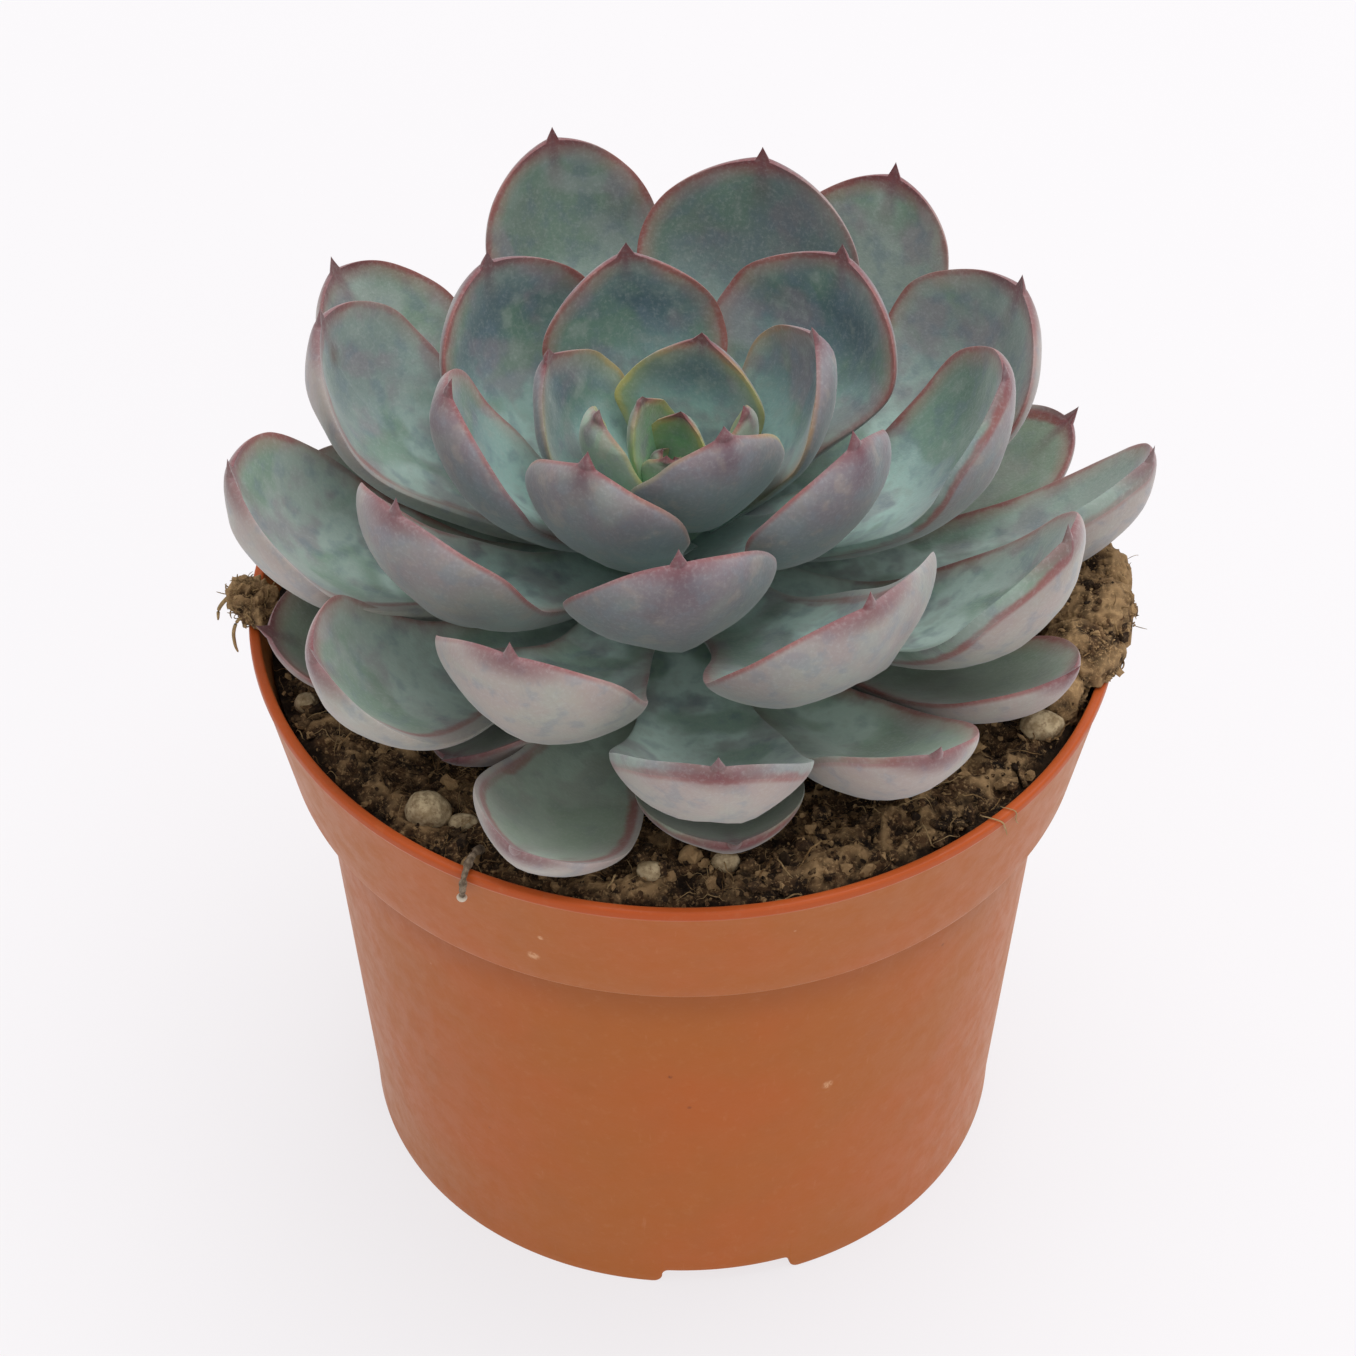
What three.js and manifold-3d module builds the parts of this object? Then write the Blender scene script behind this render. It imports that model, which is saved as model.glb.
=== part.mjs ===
// Potted succulent: a leaf rosette growing in potting mix in a round plastic nursery pot.
// Millimetres, +Z up. The origin is on the pot's axis, in the plane that the pot stands on.
// Azimuths are in degrees, anticlockwise from +X seen from above; the front of the plant is at 270.

import * as THREE from 'three';
import { mergeVertices } from 'three/addons/utils/BufferGeometryUtils.js';
import Module from 'manifold-3d';

// ---- driving dimensions ----------------------------------------------------------------------

// Pot
const POT_HEIGHT = 92;
const RIM_RADIUS = 60;
const COLLAR_HEIGHT = 21;
const COLLAR_BOTTOM_RADIUS = 55.7;
const BODY_TOP_RADIUS = 51.6;
const FOOT_RADIUS = 45.6;
const POT_WALL = 1.3;
const LIP_WIDTH = 1.5;
const LIP_DEPTH = 1.4;
const FOOT_RING = 1.8;
const BASE_RECESS = 3;
const BASE_THICKNESS = 1.5;
const NOTCH_COUNT = 3;
const NOTCH_AZIMUTH = 278;
const NOTCH_ANGLE = 23.5;
const NOTCH_HEIGHT = 2.5;
const NOTCH_CORNER = 1;
const NOTCH_REACH = 10;
const DRAIN_COUNT = 8;
const DRAIN_RADIUS = 3.5;
const DRAIN_CIRCLE = 35;
const DRAIN_SIDES = 12;
const POT_SEGMENTS = 36;

// Potting mix
const SOIL_LEVEL = 88.3;
const SOIL_TILT = 1.6;
const SOIL_HIGH_AZIMUTH = 310;
const SOIL_DISH = 4.2;
const SOIL_LUMP = 0.4;

// Rosette
const ROSETTE_X = -1.5;
const ROSETTE_Y = 5;
const LEAF_COUNT = 46;
const HEART_LEAVES = 7;
const FIRST_AZIMUTH = 308.5;
const GOLDEN_ANGLE = 137.508;
const SETTLED_FROM = 26;
const SETTLED_TURN = 0.8;
const STEM_CLEARANCE = 0.8;
const STEM_DEPTH = 12;
const STEM_SIDES = 12;

// Leaf section and outline, as shares of its own length, width and thickness
const LEAF_SIDES = 8;
const LEAF_BASE_THICKNESS = 0.35;
const LEAF_BULGE_ABOVE = 0.22;
const BLADE_ROWS = [0, 0.17, 0.34, 0.5, 0.64, 0.77, 0.88, 0.96];
const HEART_ROWS = [0, 0.35, 0.65, 0.87, 0.965];

// Mucro, the short point that ends each leaf
const MUCRO_LENGTH = 2.6;
const MUCRO_RADIUS = 1.25;
const MUCRO_FULL_WIDTH = 14;

// Gap between pieces that touch, and the distance below which two points are one
const GAP = 0.3;
const MERGE_DISTANCE = 1e-4;

// The leaf's size and pose at some places along the spiral, counted outwards from the heart:
// index, length, width, thickness, pitch at the base and at the tip in degrees, how late the
// curve comes, the share of its width that the neck has, the share of the length at which it is
// broadest, how pointed it closes, how deep it is cupped, and the height and radius at which the
// leaf leaves the stem.
const LEAF_STATIONS = [
  [0, 4, 3.5, 1.6, 88, 92, 1.5, 0.7, 0.5, 0.85, 0.32, 112, 0.6],
  [4, 13, 9, 2.4, 65, 95, 1.5, 0.7, 0.5, 0.85, 0.32, 110, 2],
  [7, 22, 18, 3.2, 42, 95, 1.3, 0.62, 0.52, 0.82, 0.3, 107, 3],
  [12, 38, 25, 4.2, 20, 92, 1.4, 0.4, 0.64, 0.74, 0.3, 103.5, 4],
  [16, 48, 28.5, 4.8, 6, 91, 1.5, 0.28, 0.7, 0.54, 0.34, 101, 4.5],
  [20, 57, 30, 5.2, -1, 88, 1.6, 0.24, 0.74, 0.54, 0.34, 99.2, 5],
  [25, 64, 30, 5.4, -8, 82, 1.65, 0.24, 0.76, 0.5, 0.36, 97.5, 5.5],
  [31, 66, 26, 5.2, -14, 72, 1.75, 0.24, 0.77, 0.5, 0.4, 96, 6],
  [37, 60, 23, 4.8, -16, 50, 1.75, 0.24, 0.78, 0.48, 0.38, 94.8, 6.5],
  [41, 56, 22.5, 4.4, -16, 34, 1.6, 0.24, 0.76, 0.5, 0.36, 93, 6.5],
  [45, 48, 21, 4.2, -14, 22, 1.5, 0.24, 0.75, 0.5, 0.34, 91, 6.5],
];
const LEAF_FIELDS = [
  'length', 'width', 'thickness', 'basePitch', 'tipPitch', 'lateness',
  'neck', 'broadest', 'closing', 'cup', 'height', 'radius',
];
const STATION_HEIGHT = 11;
const STATION_RADIUS = 12;

// What single leaves differ by from the spiral's rule, in the same units and in degrees of azimuth.
const LEAF_QUIRKS = {
  0: { height: -2 },
  1: { height: -3 },
  2: { azimuth: 28, length: 2, width: 3, height: -2 },
  3: { length: -2, height: -3 },
  4: { azimuth: 28, width: 1, height: -1 },
  5: { length: 4, width: 1, basePitch: -12, height: -2 },
  6: { length: 2, width: 2, basePitch: -4, height: -2 },
  7: { azimuth: 4, width: 3, height: -1 },
  8: { azimuth: 6, length: 4, width: 3, basePitch: -2 },
  9: { azimuth: 5, length: -1, width: 1, basePitch: -3, tipPitch: -5, height: -2 },
  10: { azimuth: 1, length: 1, width: 3, tipPitch: 5 },
  11: { azimuth: 5, length: 1, width: 1, basePitch: -2, tipPitch: 6, height: -1 },
  12: { azimuth: 6, width: 1, tipPitch: 4, height: -2 },
  13: { azimuth: 3, length: 2, tipPitch: 4, roll: -6, height: -1 },
  14: { azimuth: 5, length: -1, tipPitch: 6, roll: 7, height: -1 },
  15: { length: -1, width: 3, basePitch: 3, roll: 4, height: -1 },
  16: { azimuth: 3, length: -1, roll: 14 },
  17: { azimuth: 4, length: -4, basePitch: 2, tipPitch: 3, height: -1 },
  18: { azimuth: 4, length: 3, width: 2, tipPitch: 2, roll: -6 },
  19: { azimuth: -1, length: -1, tipPitch: 2, roll: 10, height: -1 },
  20: { azimuth: -4, length: 1, width: 2, tipPitch: 5, height: 1 },
  21: { width: 6, roll: 8 },
  22: { length: -1, width: -1, basePitch: 1, tipPitch: 2, roll: 3 },
  23: { width: 2 },
  24: { azimuth: -1, length: -1, width: -1, tipPitch: 3 },
  25: { azimuth: -3, length: 2, width: -4, basePitch: 3, tipPitch: 8, roll: 6 },
  26: { azimuth: -1, length: 3, width: -3, tipPitch: 7, roll: -3 },
  27: { azimuth: -5, length: 1, width: 1, basePitch: 1, roll: -4 },
  28: { azimuth: 1, length: 1, width: -2, basePitch: 5, tipPitch: 5, roll: 6 },
  29: { azimuth: -3, length: 2, width: -1, basePitch: -2, roll: -6, height: 1 },
  30: { azimuth: 1, length: -1, basePitch: -1, roll: 8, height: 1 },
  31: { azimuth: -3, length: 2, width: -4, roll: -26, height: 1 },
  32: { azimuth: -4, length: -2, tipPitch: 3, roll: -20, height: 1 },
  33: { length: -8 },
  34: { azimuth: -4, length: 1, width: -2, tipPitch: 4, roll: -12 },
  35: { length: -10, width: -2, basePitch: -5 },
  36: { azimuth: -9, length: -3, width: -5, basePitch: -5, roll: 5, height: 1 },
  37: { length: 3, width: -1, basePitch: -3, roll: -16 },
  38: { length: -9, basePitch: -3 },
  39: { azimuth: -6, length: 2, width: -3, basePitch: -2, tipPitch: 12, roll: -10, height: 1 },
  40: { azimuth: 1, length: -3, width: -1, basePitch: -4, tipPitch: 5, roll: -14, height: 1 },
  41: { azimuth: -2, length: -7 },
  42: { azimuth: -2, length: -2, basePitch: -2, tipPitch: 6 },
  43: { length: -10, width: -4, basePitch: -4 },
  44: { azimuth: -9, length: -10, width: -3, basePitch: -5, roll: -12, height: 1 },
  45: { azimuth: 5, length: -7, width: -4, basePitch: -4, tipPitch: 7, roll: 20 },
};

// Pumice grains on the mix: place, long and short diameter
const GRAINS = [
  { name: 'pumice_round', x: -34, y: -38.5, long: 6, short: 5.4 },
  { name: 'pumice_long', x: -29.3, y: -39.6, long: 4.4, short: 2.8 },
  { name: 'pumice_left', x: -51.3, y: -16.5, long: 3.6, short: 3 },
  { name: 'pumice_front', x: 5.5, y: -48, long: 3.6, short: 3 },
  { name: 'pumice_rim', x: -4.2, y: -50.5, long: 4, short: 2.8 },
  { name: 'pumice_right', x: 48.5, y: -23.5, long: 6, short: 4.4 },
];
// Lumps of mix heaped against the right of the rim: place, height and radius
const HEAP_LUMPS = [
  { x: 50.5, y: -17, z: 89.8, radius: 4.6 },
  { x: 54.5, y: -12, z: 92.2, radius: 5.4 },
  { x: 57.2, y: -6, z: 94.4, radius: 5 },
  { x: 53.5, y: -3, z: 92.6, radius: 6 },
  { x: 56.5, y: 2, z: 93.6, radius: 5.2 },
  { x: 54.3, y: 7.5, z: 90.8, radius: 4.4 },
];
// A knot of peat and root threads that lies over the left of the rim
const TUFT_LUMPS = [
  { x: -59, y: -3.4, z: 92.9, radius: 2.6 },
  { x: -60, y: -0.6, z: 93, radius: 2.2 },
];
const TUFT_THREADS = [
  [[-60, -1, 93.4], [-62.8, -1.4, 93.6], [-64.2, -2.6, 90.6]],
  [[-60.2, -4.2, 93.2], [-61.9, -5, 90.6], [-61.7, -5.2, 87]],
];
const THREAD_RADIUS = 0.5;
// A rootlet that comes out of the mix and hangs over the rim: radius, azimuth and height
const ROOTLET_PATH = [
  [53.4, 240, 90],
  [56, 240.8, 92.2],
  [58.6, 241.4, 93],
  [60.7, 241.8, 92.3],
  [61, 241.7, 90.2],
  [60.8, 241.4, 88],
];
const ROOTLET_RADIUS = 0.6;
const LUMP_SEEDS = { grains: 11, heap: 31, tuft: 51 };
const LUMP_ROUGHNESS = 0.24;

// Colours
const POT_COLOR = 0xa55c36;
const MIX_COLOR = 0x4a3626;
const HEART_COLOR = 0x7fa08a;
const LEAF_COLOR = 0x7a9a94;
const PUMICE_COLOR = 0xbba888;
const TUFT_COLOR = 0x6b5236;
const ROOTLET_COLOR = 0x6f6252;

// ---- solids ----------------------------------------------------------------------------------

const wasm = await Module();
wasm.setup();

function indexedGeometry(positions, index) {
  const geometry = new THREE.BufferGeometry();
  geometry.setAttribute('position', new THREE.Float32BufferAttribute(positions, 3));
  geometry.setIndex(index);
  return geometry;
}

// A closed geometry as a solid that can be joined and cut.
function solidOf(geometry) {
  const bare = new THREE.BufferGeometry();
  bare.setAttribute('position', geometry.getAttribute('position'));
  bare.setIndex(geometry.getIndex());
  const merged = mergeVertices(bare, MERGE_DISTANCE);
  const mesh = new wasm.Mesh({
    numProp: 3,
    vertProperties: new Float32Array(merged.getAttribute('position').array),
    triVerts: new Uint32Array(merged.getIndex().array),
  });
  return new wasm.Manifold(mesh);
}

// The body with the most triangles of those that a cut has left.
function largestBody(solid) {
  const mesh = solid.getMesh();
  const owner = Array.from({ length: mesh.numVert }, (_, vertex) => vertex);
  const bodyOf = (vertex) => {
    let root = vertex;
    while (owner[root] !== root) root = owner[root];
    return root;
  };
  const triangles = [];
  for (let i = 0; i < mesh.triVerts.length; i += 3) {
    const corners = Array.from(mesh.triVerts.slice(i, i + 3));
    triangles.push(corners);
    corners.forEach((corner) => {
      owner[bodyOf(corner)] = bodyOf(corners[0]);
    });
  }
  const counts = new Map();
  triangles.forEach(([corner]) => counts.set(bodyOf(corner), (counts.get(bodyOf(corner)) ?? 0) + 1));
  const [largest] = [...counts].reduce((best, entry) => (entry[1] > best[1] ? entry : best));
  const kept = triangles.filter(([corner]) => bodyOf(corner) === largest).flat();
  return solidOf(indexedGeometry(mesh.vertProperties, kept));
}

function union(solids) {
  return solids.reduce((whole, solid) => whole.add(solid));
}

function piece(name, solid, color, roughness) {
  const material = new THREE.MeshStandardMaterial({ color, roughness, metalness: 0 });
  const { vertProperties, triVerts } = solid.getMesh();
  const shape = indexedGeometry(vertProperties, Array.from(triVerts));
  shape.computeVertexNormals();
  const mesh = new THREE.Mesh(shape, material);
  mesh.name = name;
  return mesh;
}

// A closed skin over rings of points, each ring with as many points as the others and turning
// the same way about the skin's long axis, with one point at each end.
function skin(first, rings, last) {
  const sides = rings[0].length;
  const positions = [first, ...rings.flat(), last].flat();
  const index = [];
  const at = (ring, side) => 1 + ring * sides + (side % sides);
  const end = 1 + rings.length * sides;
  for (let side = 0; side < sides; side += 1) {
    index.push(0, at(0, side + 1), at(0, side));
    for (let ring = 0; ring + 1 < rings.length; ring += 1) {
      index.push(at(ring, side), at(ring, side + 1), at(ring + 1, side));
      index.push(at(ring, side + 1), at(ring + 1, side + 1), at(ring + 1, side));
    }
    index.push(at(rings.length - 1, side), at(rings.length - 1, side + 1), end);
  }
  return indexedGeometry(positions, index);
}

// A solid of revolution about an upright axis at x, y from [radius, height] points.
function turned(points, segments, x = 0, y = 0) {
  const profile = points.map(([radius, height]) => new THREE.Vector2(radius, height));
  const geometry = new THREE.LatheGeometry(profile, segments);
  geometry.rotateX(Math.PI / 2);
  geometry.translate(x, y, 0);
  return solidOf(geometry);
}

const clamp = (x) => Math.min(1, Math.max(0, x));
const smooth = (x) => clamp(x) ** 2 * (3 - 2 * clamp(x));
const radians = (degrees) => (degrees * Math.PI) / 180;

// A repeatable run of numbers from 0 to 1.
function seededRandom(seed) {
  let state = seed;
  return () => {
    state = (state * 1664525 + 1013904223) % 4294967296;
    return state / 4294967296;
  };
}

// ---- pot -------------------------------------------------------------------------------------

// The outside from the foot up, with the collar standing out over a rounded shoulder.
const POT_OUTSIDE = [
  [FOOT_RADIUS, 0],
  [FOOT_RADIUS + 0.2, BASE_RECESS + BASE_THICKNESS],
  [BODY_TOP_RADIUS, POT_HEIGHT - COLLAR_HEIGHT - 2.6],
  [BODY_TOP_RADIUS + 0.6, POT_HEIGHT - COLLAR_HEIGHT - 1],
  [BODY_TOP_RADIUS + 2, POT_HEIGHT - COLLAR_HEIGHT - 0.2],
  [COLLAR_BOTTOM_RADIUS - 0.9, POT_HEIGHT - COLLAR_HEIGHT],
  [COLLAR_BOTTOM_RADIUS, POT_HEIGHT - COLLAR_HEIGHT + 0.8],
  [RIM_RADIUS - 0.3, POT_HEIGHT - LIP_DEPTH - 0.3],
  [RIM_RADIUS, POT_HEIGHT - LIP_DEPTH + 0.2],
  [RIM_RADIUS, POT_HEIGHT - 0.4],
  [RIM_RADIUS - 0.4, POT_HEIGHT],
];
// The inside from the lip down to the floor.
const POT_INSIDE = [
  [RIM_RADIUS - LIP_WIDTH + 0.4, POT_HEIGHT],
  [RIM_RADIUS - LIP_WIDTH, POT_HEIGHT - 0.4],
  [RIM_RADIUS - LIP_WIDTH, POT_HEIGHT - LIP_DEPTH],
  [COLLAR_BOTTOM_RADIUS - POT_WALL, POT_HEIGHT - COLLAR_HEIGHT + POT_WALL + 0.8],
  [BODY_TOP_RADIUS - POT_WALL + 1, POT_HEIGHT - COLLAR_HEIGHT + POT_WALL - 0.4],
  [BODY_TOP_RADIUS - POT_WALL, POT_HEIGHT - COLLAR_HEIGHT - 2],
  [FOOT_RADIUS - POT_WALL + 0.2, BASE_RECESS + BASE_THICKNESS + 0.8],
  [FOOT_RADIUS - POT_WALL - 0.6, BASE_RECESS + BASE_THICKNESS],
];

function potSolid() {
  const underside = [
    [0, BASE_RECESS],
    [FOOT_RADIUS - FOOT_RING, BASE_RECESS],
    [FOOT_RADIUS - FOOT_RING, 0],
  ];
  const floor = [[0, BASE_RECESS + BASE_THICKNESS]];
  const profile = [...underside, ...POT_OUTSIDE, ...POT_INSIDE, ...floor];
  let pot = turned(profile, POT_SEGMENTS);
  for (let i = 0; i < NOTCH_COUNT; i += 1) {
    pot = pot.subtract(notchCutter(NOTCH_AZIMUTH + (360 / NOTCH_COUNT) * i));
  }
  for (let i = 0; i < DRAIN_COUNT; i += 1) {
    pot = pot.subtract(drainCutter((360 / DRAIN_COUNT) * (i + 0.5)));
  }
  return pot;
}

// A notch in the foot ring, through which water runs out from under the pot.
function notchCutter(azimuth) {
  const half = FOOT_RADIUS * Math.sin(radians(NOTCH_ANGLE / 2));
  const shoulder = NOTCH_HEIGHT - NOTCH_CORNER;
  const outline = new THREE.Shape();
  outline.moveTo(-half, -NOTCH_HEIGHT);
  outline.lineTo(half, -NOTCH_HEIGHT);
  outline.lineTo(half, shoulder);
  outline.absarc(half - NOTCH_CORNER, shoulder, NOTCH_CORNER, 0, Math.PI / 2, false);
  outline.absarc(NOTCH_CORNER - half, shoulder, NOTCH_CORNER, Math.PI / 2, Math.PI, false);
  outline.closePath();
  const options = { depth: NOTCH_REACH, bevelEnabled: false, curveSegments: 3 };
  const block = new THREE.ExtrudeGeometry(outline, options);
  block.rotateX(Math.PI / 2);
  block.translate(0, FOOT_RADIUS + NOTCH_REACH / 2, 0);
  block.rotateZ(radians(azimuth - 90));
  return solidOf(block);
}

function drainCutter(azimuth) {
  const depth = 4 * BASE_THICKNESS;
  const hole = new THREE.CylinderGeometry(DRAIN_RADIUS, DRAIN_RADIUS, depth, DRAIN_SIDES);
  hole.rotateX(Math.PI / 2);
  hole.translate(DRAIN_CIRCLE, 0, BASE_RECESS + BASE_THICKNESS / 2);
  hole.rotateZ(radians(azimuth));
  return solidOf(hole);
}

// ---- leaves ----------------------------------------------------------------------------------

// Size and pose of one leaf: read off between the stations, with its own quirks added.
function leafPose(index) {
  const above = LEAF_STATIONS.findIndex((station) => station[0] >= index);
  const high = LEAF_STATIONS[above];
  const low = LEAF_STATIONS[Math.max(0, above - 1)];
  const part = high === low ? 0 : (index - low[0]) / (high[0] - low[0]);
  const settled = SETTLED_TURN * Math.max(0, index - SETTLED_FROM);
  const pose = { azimuth: FIRST_AZIMUTH - GOLDEN_ANGLE * index - settled, roll: 0 };
  LEAF_FIELDS.forEach((field, i) => {
    pose[field] = low[i + 1] + part * (high[i + 1] - low[i + 1]);
  });
  Object.entries(LEAF_QUIRKS[index] ?? {}).forEach(([field, change]) => {
    pose[field] += change;
  });
  return pose;
}

// The leaf's midline, in its own upright plane: how far out, how high, and the pitch at s,
// which is 0 at the base and 1 at the end of the blade.
function midline(pose, s) {
  const steps = 48;
  const pitch = (t) => radians(pose.basePitch + (pose.tipPitch - pose.basePitch) * t ** pose.lateness);
  let out = 0;
  let up = 0;
  for (let i = 0; i < steps; i += 1) {
    const middle = pitch(Math.max(0, (s * (i + 0.5)) / steps));
    out += (Math.cos(middle) * pose.length * s) / steps;
    up += (Math.sin(middle) * pose.length * s) / steps;
  }
  return { out, up, pitch: pitch(Math.max(0, s)) };
}

// Half the leaf's width at t: narrow at the neck, widening to the broadest place, closing in a
// curve, full on outer leaves and pointed on inner ones, and running out into the mucro, which
// reaches beyond the blade by the share given.
function halfWidth(pose, t, mucro) {
  const widening = Math.sin((Math.PI / 2) * clamp(t / pose.broadest) ** 2);
  const swell = pose.neck + (1 - pose.neck) * widening;
  const close = (1 - clamp((t - pose.broadest) / (1 - pose.broadest)) ** 2.1) ** pose.closing;
  const blade = (pose.width / 2) * (t < pose.broadest ? swell : close);
  const reach = Math.min(2, Math.max(0, (1 + mucro - t) / (mucro + 0.03))) ** 1.2;
  const point = reach * MUCRO_RADIUS * Math.min(1, pose.width / MUCRO_FULL_WIDTH);
  return Math.cbrt(blade ** 3 + point ** 3);
}

// The leaf's depth at t, which thins towards the base and the tip.
function depthAt(pose, t, half) {
  const growth = LEAF_BASE_THICKNESS + (1 - LEAF_BASE_THICKNESS) * smooth(t / 0.35);
  const taper = (1 - clamp((t - 0.45) / 0.56) ** 3.2) ** 0.6;
  return Math.max(pose.thickness * growth * taper, Math.min(0.9 * half, 0.9));
}

// A leaf is a spoon, cupped above and bulging below. grow thickens it on every side.
function leafSolid(index, grow = 0) {
  const pose = leafPose(index);
  const mucro = Math.min(MUCRO_LENGTH, 0.2 + 0.06 * pose.length) / pose.length;
  const rows = index < HEART_LEAVES ? HEART_ROWS : BLADE_ROWS;
  const places = [-grow / pose.length, ...rows.slice(1), 1 + mucro * 0.35];
  const rings = places.map((s) => leafSection(pose, s, mucro, grow));
  const base = midline(pose, places[0]);
  const tip = midline(pose, 1 + mucro + (1.5 * grow) / pose.length);
  return solidOf(skin(placeOnRosette(pose, base, 0, 0), rings, placeOnRosette(pose, tip, 0, 0)));
}

// One ring of the leaf's skin. Its margins are lifted by the cup and turned by the roll.
function leafSection(pose, s, mucro, grow) {
  const t = Math.max(0, s);
  const half = halfWidth(pose, t, mucro);
  const depth = depthAt(pose, t, half);
  const above = LEAF_BULGE_ABOVE * depth + grow;
  const below = (1 - LEAF_BULGE_ABOVE) * depth + grow;
  const cup = pose.cup * smooth(t / 0.5) * (1 - 0.4 * clamp((t - 0.8) / 0.2) ** 2);
  const turn = radians(pose.roll) * smooth(t);
  const middle = midline(pose, s);
  return Array.from({ length: LEAF_SIDES }, (_, side) => {
    const angle = (2 * Math.PI * side) / LEAF_SIDES;
    const over = Math.max(0, Math.sin(angle));
    const under = Math.max(0, -Math.sin(angle));
    const across = (half + grow) * Math.cos(angle);
    const lift = cup * (half + 2.5 * grow) * Math.cos(angle) ** 2;
    const rise = lift + above * over - below * under ** 0.85;
    const aside = across * Math.cos(turn) - rise * Math.sin(turn);
    const normal = across * Math.sin(turn) + rise * Math.cos(turn);
    return placeOnRosette(pose, middle, aside, normal);
  });
}

// A point at the given distances from a leaf's midline, sideways and square to the blade.
function placeOnRosette(pose, middle, aside, normal) {
  const out = pose.radius + middle.out - Math.sin(middle.pitch) * normal;
  const cos = Math.cos(radians(pose.azimuth));
  const sin = Math.sin(radians(pose.azimuth));
  return [
    ROSETTE_X + out * cos - aside * sin,
    ROSETTE_Y + out * sin + aside * cos,
    pose.height + middle.up + Math.cos(middle.pitch) * normal,
  ];
}

// The short stem, a little thicker than the circle that the leaf bases stand on.
function stemSolid(grow = 0) {
  const foot = LEAF_STATIONS[LEAF_STATIONS.length - 1];
  const rootRadius = foot[STATION_RADIUS] + STEM_CLEARANCE + grow;
  const buried = [rootRadius, foot[STATION_HEIGHT] - STEM_DEPTH - grow];
  const stations = LEAF_STATIONS.filter((_, i) => i % 2 === 0);
  const sides = stations.map((station) => {
    return [station[STATION_RADIUS] + STEM_CLEARANCE + grow, station[STATION_HEIGHT]];
  });
  const bottom = [0, buried[1]];
  const top = [0, LEAF_STATIONS[0][STATION_HEIGHT] + STEM_CLEARANCE + grow];
  return turned([bottom, buried, ...sides.reverse(), top], STEM_SIDES, ROSETTE_X, ROSETTE_Y);
}

// ---- potting mix, and what lies on it --------------------------------------------------------

// Height of the mix: low under the rosette, a little higher at one side, with soft lumps.
function soilHeight(x, y) {
  const away = Math.hypot(x, y);
  const azimuth = Math.atan2(y, x);
  const dish = SOIL_DISH * (1 - smooth((away - 26) / 26));
  const tilt = SOIL_TILT * (away / RIM_RADIUS) * Math.cos(azimuth - radians(SOIL_HIGH_AZIMUTH));
  const lumps = Math.sin(x * 0.83 + 1.3) * Math.cos(y * 0.71) + Math.sin(x * 0.37 - y * 0.52 + 2);
  return SOIL_LEVEL - dish + tilt + SOIL_LUMP * lumps;
}

// Radius of the pot's inside at a height, less the gap.
function insideRadius(height) {
  for (let i = 1; i < POT_INSIDE.length; i += 1) {
    const [upperRadius, upper] = POT_INSIDE[i - 1];
    const [lowerRadius, lower] = POT_INSIDE[i];
    if (height >= lower) {
      const part = clamp((height - lower) / (upper - lower));
      return lowerRadius + part * (upperRadius - lowerRadius) - GAP;
    }
  }
  return POT_INSIDE[POT_INSIDE.length - 1][0] - GAP;
}

function soilSolid() {
  const angles = Array.from({ length: POT_SEGMENTS }, (_, i) => (-2 * Math.PI * i) / POT_SEGMENTS);
  const ringAt = (radius, height) =>
    angles.map((angle) => {
      const x = radius * Math.cos(angle);
      const y = radius * Math.sin(angle);
      return [x, y, height ?? soilHeight(x, y)];
    });
  const floor = BASE_RECESS + BASE_THICKNESS + GAP;
  const edge = insideRadius(SOIL_LEVEL - 3) - 0.2;
  const top = [14, 26, 34, 41, 47, 52, edge].map((radius) => ringAt(radius));
  const walls = [
    ringAt(edge - 0.5, SOIL_LEVEL - 5),
    ringAt(insideRadius(POT_INSIDE[3][1]) - 0.1, POT_INSIDE[3][1] + GAP),
    ringAt(insideRadius(POT_INSIDE[4][1]) - 0.1, POT_INSIDE[4][1] + GAP),
    ringAt(insideRadius(POT_INSIDE[5][1]), POT_INSIDE[5][1]),
    ringAt(insideRadius(POT_INSIDE[6][1]) - 0.1, POT_INSIDE[6][1]),
    ringAt(insideRadius(POT_INSIDE[7][1]) - 0.2, floor),
  ];
  return solidOf(skin([0, 0, soilHeight(0, 0)], [...top, ...walls], [0, 0, floor]));
}

// A knobbly lump: a ball of few faces with its corners moved in and out.
function lump(center, radii, seed) {
  const random = seededRandom(seed);
  const round = new THREE.IcosahedronGeometry(1, 1);
  round.deleteAttribute('normal');
  round.deleteAttribute('uv');
  const ball = mergeVertices(round);
  const corners = ball.getAttribute('position');
  for (let i = 0; i < corners.count; i += 1) {
    const scale = 1 + LUMP_ROUGHNESS * (random() - 0.6);
    corners.setXYZ(
      i,
      center[0] + corners.getX(i) * radii[0] * scale,
      center[1] + corners.getY(i) * radii[1] * scale,
      center[2] + corners.getZ(i) * radii[2] * scale,
    );
  }
  return solidOf(ball);
}

// Several lumps grown together into one body.
function lumps(list, firstSeed) {
  const bodies = list.map(({ x, y, z, radius }, i) => {
    return lump([x, y, z], [radius, radius, radius], firstSeed + i);
  });
  return union(bodies);
}

// A round thread along a smooth path.
function thread(points, radius) {
  const path = new THREE.CatmullRomCurve3(points.map((point) => new THREE.Vector3(...point)));
  const section = new THREE.Shape();
  section.absarc(0, 0, radius, 0, 2 * Math.PI, false);
  const options = { steps: 2 * points.length, extrudePath: path, bevelEnabled: false, curveSegments: 3 };
  return solidOf(new THREE.ExtrudeGeometry(section, options));
}

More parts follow.
